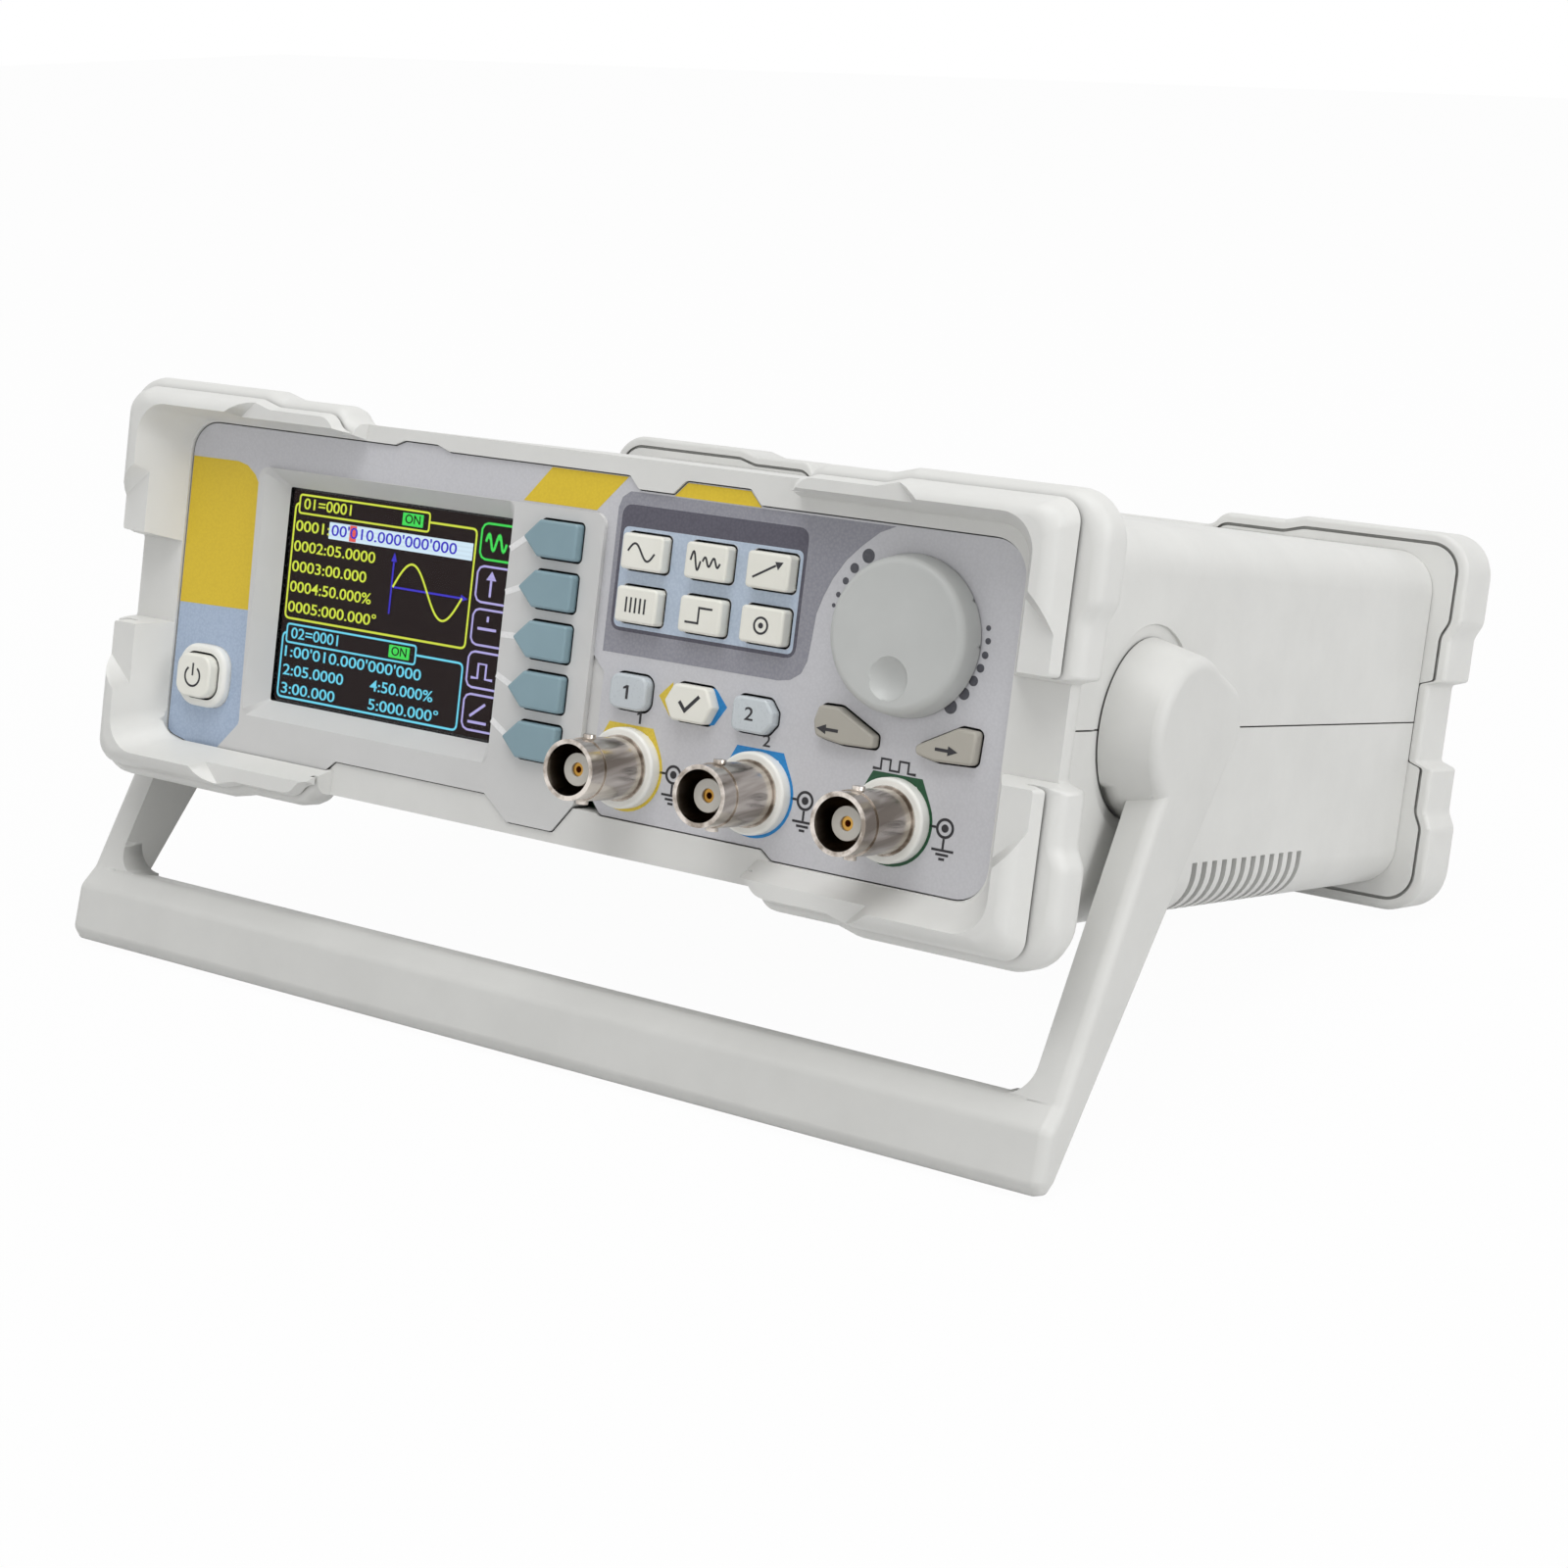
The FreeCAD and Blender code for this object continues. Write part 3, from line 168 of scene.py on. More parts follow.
def platedMetal(name, light, dark, roughness, tarnishAndReflectionSize=16.0, hollowShade=None, reflectionStretch=1.0):
    # plated or bare metal, turned: fine lathe lines, a little tarnish which, stretched along the axis, also lays
    # painted reflection streaks, and painted shade in deep hollows
    material, tree = startMaterial(name)
    place = addNode(tree, "ShaderNodeTexCoord").outputs["Object"]
    # stretched along the axis, the tarnish tone becomes light and dark streaks that are painted reflection
    stretchedPlace = addNode(tree, "ShaderNodeMapping", {}, {
        "Vector": place, "Rotation": (-lean, 0.0, 0.0), "Scale": (1.0, reflectionStretch, 1.0)})
    tarnishAndReflection = addNode(tree, "ShaderNodeTexNoise", {}, {
        "Vector": stretchedPlace.outputs["Vector"], "Scale": perMetre(tarnishAndReflectionSize), "Detail": 3.0,
        "Roughness": 0.6})
    tone = addNode(tree, "ShaderNodeValToRGB", {}, {"Fac": tarnishAndReflection.outputs["Fac"]})
    tone.color_ramp.elements[0].position = 0.35
    tone.color_ramp.elements[0].color = linear(dark)
    tone.color_ramp.elements[1].position = 0.6
    tone.color_ramp.elements[1].color = linear(light)
    surface = tone.outputs["Color"]
    if hollowShade:
        # painted shade: deep inside bores and hollows the colour turns to the hollow shade colour
        depth = addNode(tree, "ShaderNodeAmbientOcclusion", {"only_local": True, "samples": 8}, {
            "Distance": 0.009})
        reach = addNode(tree, "ShaderNodeMapRange", {}, {
            "Value": depth.outputs["AO"], "From Min": 0.25, "From Max": 0.8})
        hollowShaded = addNode(tree, "ShaderNodeMix", {"data_type": "RGBA"}, {
            0: reach.outputs["Result"], 6: linear(hollowShade), 7: surface})
        surface = hollowShaded.outputs[2]
    turned = addNode(tree, "ShaderNodeMapping", {}, {
        "Vector": place, "Rotation": (-lean, 0.0, 0.0)})
    lines = addNode(tree, "ShaderNodeTexWave", {"wave_type": "BANDS", "bands_direction": "Y"}, {
        "Vector": turned.outputs["Vector"], "Scale": perMetre(lathe["pitch"]) / lathe["waveTurn"],
        "Distortion": 1.5})
    bump = addNode(tree, "ShaderNodeBump", {}, {
        "Height": lines.outputs["Fac"], "Strength": 0.15, "Distance": 0.00001})
    shader = addNode(tree, "ShaderNodeBsdfPrincipled", {}, {
        "Base Color": surface, "Metallic": 1.0, "Roughness": roughness,
        "Normal": bump.outputs["Normal"]})
    closeMaterial(tree, shader)
    return material


pixelPitch = 0.153    # of a 2.4 inch display of 320 by 240 cells, in mm


def litPixels(name, colour):
    # picture elements of the backlit display, with the fine grid of its cells
    material, tree = startMaterial(name)
    place = addNode(tree, "ShaderNodeTexCoord").outputs["Object"]
    cells = addNode(tree, "ShaderNodeTexVoronoi", {"feature": "F1"}, {
        "Vector": place, "Scale": perMetre(pixelPitch), "Randomness": 0.0})
    tone = addNode(tree, "ShaderNodeValToRGB", {}, {"Fac": cells.outputs["Distance"]})
    tone.color_ramp.elements[0].position = 0.35
    tone.color_ramp.elements[0].color = linear(colour)
    tone.color_ramp.elements[1].position = 0.75
    tone.color_ramp.elements[1].color = [0.8 * part for part in linear(colour)[:3]] + [1.0]
    shader = addNode(tree, "ShaderNodeBsdfPrincipled", {}, {
        "Base Color": (0.004, 0.004, 0.004, 1.0), "Roughness": 0.4, "Specular IOR Level": 0.1,
        "Emission Color": tone.outputs["Color"], "Emission Strength": 1.0})
    closeMaterial(tree, shader)
    return material


def clearPane(name):
    # clear acrylic window with a faint anti-glare surface
    material, tree = startMaterial(name)
    place = addNode(tree, "ShaderNodeTexCoord").outputs["Object"]
    haze = addNode(tree, "ShaderNodeTexNoise", {}, {
        "Vector": place, "Scale": perMetre(0.3), "Detail": 2.0})
    bump = addNode(tree, "ShaderNodeBump", {}, {
        "Height": haze.outputs["Fac"], "Strength": 0.03, "Distance": 0.00001})
    shader = addNode(tree, "ShaderNodeBsdfPrincipled", {}, {
        "Base Color": (1.0, 1.0, 1.0, 1.0), "Roughness": 0.05, "IOR": 1.1,
        "Transmission Weight": 1.0, "Normal": bump.outputs["Normal"]})
    closeMaterial(tree, shader)
    return material


finishes = {
    # the gap colours given here are painted shade for crevices, not the plastics' own colour
    "bezelAbs": mouldedPlastic("bezelAbs", "#DFDFDC", "#DADAD7", 0.46, gap="#73736F"),
    "coverAbs": mouldedPlastic("coverAbs", "#DCDCD9", "#D7D7D4", 0.48, grain=0.45, depth=0.05,
                               gap="#73736F"),
    "bailAbs": mouldedPlastic("bailAbs", "#D6D6D3", "#D1D1CE", 0.47, grain=0.45, depth=0.05,
                              gap="#73736F"),
    "panelAbs": mouldedPlastic("panelAbs", "#D3D3D2", "#CECECD", 0.45),
    "knobAbs": mouldedPlastic("knobAbs", "#C1C3C1", "#BBBDBB", 0.42, grain=0.3),
    "ivoryAbs": mouldedPlastic("ivoryAbs", "#EFEEE5", "#E9E8DE", 0.35, grain=0.5, depth=0.015),
    "softKeyAbs": mouldedPlastic("softKeyAbs", "#87A2AC", "#809BA5", 0.38, grain=0.5, depth=0.015),
    "smokyAbs": mouldedPlastic("smokyAbs", "#C9D0D4", "#C2C9CE", 0.3, grain=0.6, depth=0.01),
    "arrowKeyAbs": mouldedPlastic("arrowKeyAbs", "#B3AFA5", "#ABA79D", 0.4, grain=0.5, depth=0.02),
    "whiteNylon": mouldedPlastic("whiteNylon", "#F1F1EC", "#EAEAE4", 0.4, grain=0.4, depth=0.02),
    "whiteResin": mouldedPlastic("whiteResin", "#D9D6CE", "#CFCBC2", 0.5, grain=0.3, depth=0.02),
    "blackNylon": mouldedPlastic("blackNylon", "#1C1C1D", "#151516", 0.5),
    "displayBlack": mouldedPlastic("displayBlack", "#1A1413", "#120E10", 0.25, grain=1.0,
                                   depth=0.005),
    "circuitLaminate": mouldedPlastic("circuitLaminate", "#0F4A2A", "#0B3D22", 0.4),
    "componentEpoxy": mouldedPlastic("componentEpoxy", "#26272A", "#1B1C1F", 0.6),
    "sheetFilm": printedFilm("sheetFilm", "#CBCBCF", "#C5C5C9"),
    "yellowInk": printedFilm("yellowInk", "#E2C42E", "#DCBD2A", 0.45),
    "paleBlueInk": printedFilm("paleBlueInk", "#B3C3D8", "#A5B6CE", 0.45),
    "greyInk": printedFilm("greyInk", "#97979F", "#8B8B94", 0.45),
    "headerInk": printedFilm("headerInk", "#5B5965", "#504E5A", 0.45),
    "fieldInk": printedFilm("fieldInk", "#BECBDB", "#B2C0D2", 0.45),
    "blackInk": printedFilm("blackInk", "#2B2A2E", "#242327", 0.5),
    "whiteInk": printedFilm("whiteInk", "#F0F0F0", "#E8E8E8", 0.45),
    "dotInk": printedFilm("dotInk", "#55555C", "#4B4B52", 0.5),
    "blueInk": printedFilm("blueInk", "#2389CC", "#1B7DBE", 0.45),
    "greenInk": printedFilm("greenInk", "#14502F", "#0F4628", 0.45),
    "ringYellowInk": printedFilm("ringYellowInk", "#DFC648", "#D5BA3C", 0.45),
    # nickel: tarnish plus painted reflection streaks along the barrels, and painted shade in the bores
    "nickelPlate": platedMetal("nickelPlate", "#E2DAD2", "#948A80", 0.2, tarnishAndReflectionSize=3.0,
                               hollowShade="#4A3A24", reflectionStretch=0.06),
    "zincPlate": platedMetal("zincPlate", "#B9BABC", "#9FA0A3", 0.35),
    "brass": platedMetal("brass", "#C79A4E", "#A57A36", 0.3),
    "aluminium": platedMetal("aluminium", "#C9CACC", "#B0B2B5", 0.4),
    "rearEnamel": mouldedPlastic("rearEnamel", "#D4D4D1", "#CFCFCC", 0.5, grain=0.8, depth=0.03),
    "clearPane": clearPane("clearPane"),
    "screenBrown": litPixels("screenBrown", "#1C1010"),
    "screenYellow": litPixels("screenYellow", "#D8E64A"),
    "screenCyan": litPixels("screenCyan", "#6FD6F0"),
    "screenGreen": litPixels("screenGreen", "#45E05A"),
    "screenLilac": litPixels("screenLilac", "#B4ACE4"),
    "screenWhite": litPixels("screenWhite", "#D6ECFA"),
    "screenBlue": litPixels("screenBlue", "#3F36C8"),
    "screenRed": litPixels("screenRed", "#E8605A"),
}
print("materials ready:", len(finishes))


def paint(piece, finish):
    piece.data.materials.clear()
    piece.data.materials.append(finishes[finish])


# CAD nodes: rounded ones are shown by a merged copy with smooth shading,
# plain and inner ones keep their mesh and only get a finish

bodyOf = {}
for bodyName, members in frame["record"]["behaviour"]["bodies"].items():
    for member in members:
        bodyOf[member] = bodyName

softenedNodes = {
    "front_bezel": ("bezelAbs", 0.25), "rear_bezel": ("bezelAbs", 0.25),
    "top_cover": ("coverAbs", 0.15), "bottom_cover": ("coverAbs", 0.15),
    "handle": ("bailAbs", 0.0), "front_panel": ("panelAbs", 0.12), "knob": ("knobAbs", 0.0),
    "power_key_ring": ("whiteNylon", 0.0), "power_key": ("ivoryAbs", 0.0),
    "ok_key": ("ivoryAbs", 0.0), "jack_collars": ("whiteNylon", 0.0),
    "output_jack_1": ("nickelPlate", 0.12), "output_jack_2": ("nickelPlate", 0.12),
    "counter_jack": ("nickelPlate", 0.12), "trigger_jack": ("nickelPlate", 0.12),
    "jack_insulators": ("whiteResin", 0.1), "jack_contacts": ("brass", 0.05),
    "channel_key_1": ("smokyAbs", 0.0), "channel_key_2": ("smokyAbs", 0.0),
    "arrow_key_left": ("arrowKeyAbs", 0.0), "arrow_key_right": ("arrowKeyAbs", 0.0),
    "fan_rotor": ("blackNylon", 0.1), "fan_frame": ("blackNylon", 0.1),
    "mains_inlet": ("blackNylon", 0.15), "switch_housing": ("blackNylon", 0.15),
    "rocker_switch": ("blackNylon", 0.3), "rear_panel": ("rearEnamel", 0.1),
    "rear_screws": ("zincPlate", 0.1), "cover_screws": ("zincPlate", 0.1),
}
for number in range(1, 6):
    softenedNodes[f"soft_key_{number}"] = ("softKeyAbs", 0.0)
for number in range(1, 7):
    softenedNodes[f"function_key_{number}"] = ("ivoryAbs", 0.0)

plainNodes = {
    "panel_sheet": "sheetFilm", "lcd_module": "displayBlack", "key_board": "circuitLaminate",
    "key_switches": "componentEpoxy", "encoder": "zincPlate", "encoder_shaft": "aluminium",
    "main_board": "circuitLaminate", "main_board_parts": "componentEpoxy",
    "heat_sink": "aluminium", "power_board": "circuitLaminate",
    "power_board_parts": "componentEpoxy", "inlet_pins": "zincPlate", "usb_socket": "zincPlate",
    "pivot_screws": "zincPlate", "friction_washers": "whiteNylon", "screen_window": "clearPane",
}
for nodeName, finish in plainNodes.items():
    paint(frame["nodes"][nodeName], finish)


soften = {"merge": 0.000004, "flat": 0.6, "bevelFrom": 50, "smoothUpTo": 38}    # m and degrees


def softenedCopy(nodeName, finish, bevel):
    source = frame["nodes"][nodeName]
    copy = source.copy()
    copy.data = source.data.copy()
    copy.name = nodeName + "_skin"
    copy.parent = None
    copy.matrix_world = Matrix.Identity(4)
    bpy.context.collection.objects.link(copy)
    copy.hide_render = False
    copy.hide_viewport = False
    paint(source, finish)
    selectOnly(copy)
    bpy.ops.object.mode_set(mode="EDIT")
    bpy.ops.mesh.select_all(action="SELECT")
    bpy.ops.mesh.remove_doubles(threshold=soften["merge"])
    bpy.ops.mesh.dissolve_limited(angle_limit=math.radians(soften["flat"]), delimit={"NORMAL"})
    bpy.ops.object.mode_set(mode="OBJECT")
    if bevel > 0:
        edge = copy.modifiers.new("edge", "BEVEL")
        edge.width = bevel / 1000
        edge.segments = 2
        edge.limit_method = "ANGLE"
        edge.angle_limit = math.radians(soften["bevelFrom"])
        edge.use_clamp_overlap = True
        edge.miter_outer = "MITER_ARC"
        bpy.ops.object.modifier_apply(modifier="edge")
    bpy.ops.object.shade_smooth_by_angle(angle=math.radians(soften["smoothUpTo"]))
    flat = copy.modifiers.new("flat", "WEIGHTED_NORMAL")
    flat.keep_sharp = True
    bpy.ops.object.modifier_apply(modifier="flat")
    paint(copy, finish)
    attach(copy, bodyOf[nodeName])
    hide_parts(nodeName)


for nodeName, (finish, bevel) in softenedNodes.items():
    softenedCopy(nodeName, finish, bevel)
print("moulded parts softened:", len(softenedNodes))


# Flat prints: outlines in the drawing plane, made into thin films


filmThickness = 0.03


def settle(piece, face, finish, body):
    # stands a drawn film up in front of its face, as a mesh with its place in it
    selectOnly(piece)
    if piece.type != "MESH":
        bpy.ops.object.convert(target="MESH")
        piece = bpy.context.view_layer.objects.active
    piece.data.transform(levelToRow @ Matrix.Translation((0, -face - filmThickness / 2, 0))
                         @ standUp @ piece.matrix_world)
    piece.matrix_world = Matrix.Identity(4)
    paint(piece, finish)
    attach(piece, body)


def ink(name, outlines, finish, face=0.0, body="case"):
    # even-odd fill: an outline inside another one is a hole
    curve = bpy.data.curves.new(name, "CURVE")
    curve.dimensions = "2D"
    curve.fill_mode = "BOTH"
    curve.extrude = filmThickness / 2
    for outline in outlines:
        spline = curve.splines.new("POLY")
        spline.points.add(len(outline) - 1)
        for point, (x, z) in zip(spline.points, outline):
            point.co = (x, z, 0, 1)
        spline.use_cyclic_u = True
    piece = bpy.data.objects.new(name, curve)
    bpy.context.collection.objects.link(piece)
    settle(piece, face, finish, body)


lettering = {"figureShare": 0.72, "bolder": 0.022}    # figure height over type size, extra weight


def figures(name, lines, finish, face=0.0, body="case"):
    # each line is (text, left, middle height, figure height, width of the line)
    made = []
    for text, left, z, height, width in lines:
        bpy.ops.object.select_all(action="DESELECT")
        bpy.ops.object.text_add(location=(0, 0, 0))
        piece = bpy.context.view_layer.objects.active
        piece.data.body = text
        piece.data.size = height / lettering["figureShare"]
        piece.data.offset = lettering["bolder"]
        piece.data.align_x = "LEFT"
        piece.data.align_y = "CENTER"
        piece.data.extrude = filmThickness / 2
        bpy.ops.object.convert(target="MESH")
        piece = bpy.context.view_layer.objects.active
        start = min(corner.co.x for corner in piece.data.vertices)
        reach = max(corner.co.x for corner in piece.data.vertices) - start
        piece.data.transform(Matrix.Translation((left, z, 0))
                             @ Matrix.Diagonal((width / reach, 1, 1, 1))
                             @ Matrix.Translation((-start, 0, 0)))
        made.append(piece)
    bpy.ops.object.select_all(action="DESELECT")
    for piece in made:
        piece.select_set(True)
    bpy.context.view_layer.objects.active = made[0]
    if len(made) > 1:
        bpy.ops.object.join()
    joined = bpy.context.view_layer.objects.active
    joined.name = name
    settle(joined, face, finish, body)


def figureOne(x, z, height):
    # outline of a bold figure 1 with its flag
    shape = [(-0.28, 0.2), (-0.28, 0.34), (0.0, 0.5), (0.2, 0.5), (0.2, -0.5), (-0.02, -0.5),
             (-0.02, 0.26)]
    return [(x + a * height, z + b * height) for a, b in shape]


def disc(x, z, radius, count=32):
    return [(x + radius * math.cos(2 * math.pi * i / count),
             z + radius * math.sin(2 * math.pi * i / count)) for i in range(count)]


def softCorners(points, radius, steps=5):
    # outline with its corners cut to arcs of about this radius
    longest = 0.45    # share of a side that an arc may take
    outline = []
    for i, (x, z) in enumerate(points):
        before = Vector(points[i - 1]) - Vector((x, z))
        after = Vector(points[(i + 1) % len(points)]) - Vector((x, z))
        reach = min(radius, before.length * longest, after.length * longest)
        start = Vector((x, z)) + before.normalized() * reach
        end = Vector((x, z)) + after.normalized() * reach
        for step in range(steps + 1):
            t = step / steps
            spot = start * (1 - t) ** 2 + Vector((x, z)) * 2 * t * (1 - t) + end * t ** 2
            outline.append((spot.x, spot.y))
    return outline


def panelBox(x0, x1, z0, z1, radius):
    return softCorners([(x0, z0), (x1, z0), (x1, z1), (x0, z1)], radius)


def hollowBox(x0, x1, z0, z1, radius, line):
    leastRadius = 0.05
    return [panelBox(x0, x1, z0, z1, radius),
            panelBox(x0 + line, x1 - line, z0 + line, z1 - line, max(radius - line, leastRadius))]


def ribbon(points, width):
    # closed outline of a line drawn along the points
    left, right = [], []
    for i, point in enumerate(points):
        ahead = Vector(points[min(i + 1, len(points) - 1)]) - Vector(points[max(i - 1, 0)])
        normal = Vector((-ahead.y, ahead.x)).normalized() * width / 2
        left.append((point[0] + normal.x, point[1] + normal.y))
        right.append((point[0] - normal.x, point[1] - normal.y))
    return left + right[::-1]


def sineLine(x0, x1, z, height, turns=1.0, count=28):
    return [(x0 + (x1 - x0) * i / count, z + height * math.sin(2 * math.pi * turns * i / count))
            for i in range(count + 1)]


keyPlaces = {
    "rows": (17.05, 8.65), "columns": (16.65, 29.05, 40.7), "halfWidth": 4.35, "halfHeight": 3.2,
}
functionHoles = [
    panelBox(x - keyPlaces["halfWidth"], x + keyPlaces["halfWidth"],
             z - keyPlaces["halfHeight"], z + keyPlaces["halfHeight"], 0.9)
    for z in keyPlaces["rows"] for x in keyPlaces["columns"]
]

# Colour fields of the sheet
fields = {
    "yellowBlock": [(-84.2, 22.4), (-73.5, 22.5), (-71.2, 22.0), (-69.2, 20.6), (-67.8, 18.6),
                    (-67.3, 16.5), (-67.35, -2.9), (-84.2, -3.4)],
    "blueBlock": [(-84.2, -3.45), (-67.35, -2.95), (-66.9, -22.9), (-72.4, -28.4), (-76.3, -28.4),
                  (-82.9, -27.0), (-84.2, -26.2)],
    "parallelogram": [(-4.4, 28.5), (11.0, 28.5), (5.4, 22.6), (-9.6, 22.6)],
    "tab": [(22.6, 28.75), (34.6, 28.75), (36.9, 26.45), (20.3, 26.45)],
}
powerHole = panelBox(-81.8, -70.2, -21.2, -10.0, 4.6)
ink("yellow_block", [fields["yellowBlock"]], "yellowInk")
ink("blue_block", [fields["blueBlock"], powerHole], "paleBlueInk")
ink("yellow_parallelogram", [fields["parallelogram"]], "yellowInk")
ink("yellow_tab", [fields["tab"]], "yellowInk", face=filmThickness)

functionGroup = {
    "border": panelBox(10.6, 46.2, 4.2, 24.3, 2.0), "field": panelBox(11.2, 45.6, 4.8, 20.8, 1.2),
}
greyOutline = [
    (9.7, 0.6), (9.7, 23.6), (10.3, 25.3), (11.8, 26.3), (61.3, 26.3), (58.6, 25.1), (55.8, 22.8),
    (53.3, 20.3), (51.3, 17.3), (50.0, 14.4), (49.1, 11.6), (48.8, 7.5), (48.5, 4.3), (47.6, 2.2),
    (45.8, 1.0), (43.6, 0.6),
]
ink("grey_block", [greyOutline, functionGroup["border"]], "greyInk")
ink("function_frame", [functionGroup["border"], functionGroup["field"]], "headerInk")
ink("function_field", [functionGroup["field"]] + functionHoles, "fieldInk")
print("colour fields printed")

# Dots round the knob: place and radius, small to large in both directions
dots = {
    "left": [(52.0, 13.3, 0.33), (52.6, 15.0, 0.42), (53.6, 17.2, 0.55), (54.9, 19.3, 0.78),
             (57.1, 21.4, 1.1)],
    "right": [(79.1, 13.4, 0.42), (79.3, 11.5, 0.48), (79.1, 9.4, 0.56), (78.6, 7.4, 0.65),
              (77.7, 5.4, 0.78), (76.4, 3.3, 0.92), (74.4, 1.1, 1.1)],
}
ink("knob_dots", [disc(x, z, r, 20) for side in dots.values() for x, z, r in side], "dotInk")

# Coloured surround, number and socket sign of each jack
jackPrint = {"places": (17.0, 41.95, 66.9), "z": -17.2, "half": 5.5, "line": 1.3, "top": 5.6,
             "barrelHole": 5.05, "signAside": 9.2, "signUp": 0.3, "lead": 1.9, "numberZ": -9.0,
             "numberHeight": 1.9, "arcFrom": -208, "arcSweep": 236, "arcSteps": 24, "arcGrow": 0.2,
             "topShare": 0.64}
signShape = {"ringOut": 1.55, "ringIn": 1.12, "dot": 0.62, "gap": 0.02, "line": 0.38, "stem": 3.1,
             "bars": ((0, 1.9), (0.66, 1.1), (1.32, 0.5))}    # bars: step down and half width


def jackSurround(x, z, grow):
    # two thirds of a ring, closed by a flat top
    top = jackPrint["top"] + grow
    half = jackPrint["half"] + grow
    points = []
    radius = half + jackPrint["arcGrow"]
    for i in range(jackPrint["arcSteps"] + 1):
        angle = math.radians(jackPrint["arcFrom"]
                             + jackPrint["arcSweep"] * i / jackPrint["arcSteps"])
        points.append((x + radius * math.cos(angle), z + radius * math.sin(angle)))
    flat = half * jackPrint["topShare"]
    points += [(x + flat, z + top), (x - flat, z + top)]
    return points


def socketSign(x, z):
    # ring and dot, its lead to the jack, and the ground bars below
    ringOut, gap, line = signShape["ringOut"], signShape["gap"], signShape["line"]
    outlines = [disc(x, z, ringOut), disc(x, z, signShape["ringIn"]),
                disc(x, z, signShape["dot"], 20)]
    outlines.append(ribbon([(x - ringOut - jackPrint["lead"], z), (x - ringOut - gap, z)], line))
    outlines.append(ribbon([(x, z - ringOut - gap), (x, z - signShape["stem"])], line))
    for down, half in signShape["bars"]:
        level = z - signShape["stem"] - gap - line / 2 - down
        outlines.append(ribbon([(x - half, level), (x + half, level)], line))
    return outlines


for name, x, finish in zip(("one", "two", "counter"), jackPrint["places"],
                           ("ringYellowInk", "blueInk", "greenInk")):
    z = jackPrint["z"]
    ink("surround_" + name, [jackSurround(x, z, jackPrint["line"]), jackSurround(x, z, 0)], finish)
    ink("surround_white_" + name, [jackSurround(x, z, 0), disc(x, z, jackPrint["barrelHole"])],
        "whiteInk")
    ink("socket_sign_" + name, socketSign(x + jackPrint["signAside"], z + jackPrint["signUp"]),
        "blackInk")
ink("jack_number_one", [figureOne(18.4, jackPrint["numberZ"], jackPrint["numberHeight"])],
    "blackInk")
figures("jack_number_two", [("2", 42.2, jackPrint["numberZ"], jackPrint["numberHeight"], 1.4)],
        "blackInk")
pulse = {
    "line": 0.45,
    "points": [(62.4, -9.9), (63.8, -9.9), (63.8, -8.3), (65.4, -8.3), (65.4, -9.9), (67.0, -9.9),
               (67.0, -8.3), (68.6, -8.3), (68.6, -9.9), (70.0, -9.9)],
}
ink("counter_sign", [ribbon(pulse["points"], pulse["line"])], "blackInk")

# Marks beside the confirm key
ink("confirm_mark_left", [[(21.7, -4.9), (24.2, -2.4), (24.2, -7.9)]], "ringYellowInk")
ink("confirm_mark_right",
    [[(31.9, -2.3), (32.6, -2.5), (34.85, -4.9), (32.8, -8.0), (31.9, -8.2)]], "blueInk")

# White leaders from the screen surround to the soft keys
leader = {"screenX": -10.6, "keyX": -7.0, "screenZ": (14.5, 7.4, 0.5, -6.1, -13.6),
          "firstKey": 17.0, "keyPitch": 8.19, "line": 1.0, "face": 0.9}
leaderLines = []
for i, screenEnd in enumerate(leader["screenZ"]):
    keyEnd = leader["firstKey"] - leader["keyPitch"] * i
    leaderLines.append(ribbon([(leader["screenX"], screenEnd), (leader["keyX"], keyEnd)],
                              leader["line"]))
ink("soft_key_leaders", leaderLines, "whiteInk", face=leader["face"])
print("jack and key marks printed")

# Key legends: drawn signs, each riding on its key
legend = {"line": 0.34, "face": 2.2, "lowFace": 1.8, "powerFace": 3.6, "powerLine": 0.38}
line = legend["line"]
keySigns = {
    "function_key_1": [ribbon(sineLine(-2.6, 2.6, 0, 1.3), line)],
    "function_key_2": [ribbon(sineLine(-2.8, -0.9, 0, 1.4), line),
                       ribbon(sineLine(-0.5, 2.8, 0, 0.7, 2.0), line)],
    "function_key_3": [ribbon([(-2.6, -1.2), (1.5, 1.0)], line),
                       [(1.3, 1.55), (2.8, 1.6), (1.95, 0.35)]],
    "function_key_4": [ribbon([(x, -1.2), (x, 1.2)], line) for x in (-1.8, -0.9, 0.0, 0.9, 1.8)],
    "function_key_5": [ribbon([(-2.6, -1.2), (-0.3, -1.2)], line),
                       ribbon([(-0.12, -1.38), (-0.12, 1.38)], line),
                       ribbon([(0.08, 1.2), (2.4, 1.2)], line)],
    "function_key_6": [disc(0, 0, 1.4), disc(0, 0, 1.05), disc(0, 0, 0.45, 16)],
}
for i, x in enumerate(keyPlaces["columns"] * 2):
    z = keyPlaces["rows"][i // 3]
    name = f"function_key_{i + 1}"
    moved = [[(x + a, z + b) for a, b in outline] for outline in keySigns[name]]
    ink("sign_" + name, moved, "blackInk", legend["face"], name)
ink("sign_channel_key_1", [figureOne(16.5, -5.1, 2.2)], "blackInk", legend["lowFace"],
    "channel_key_1")
figures("sign_channel_key_2", [("2", 39.4, -5.2, 2.1, 1.6)], "blackInk", legend["lowFace"],
        "channel_key_2")
ink("sign_ok_key", [[(27.0, -5.2), (27.45, -4.8), (28.4, -5.9), (30.7, -3.6), (31.1, -4.0),
                     (28.4, -6.75)]], "blackInk", legend["face"], "ok_key")
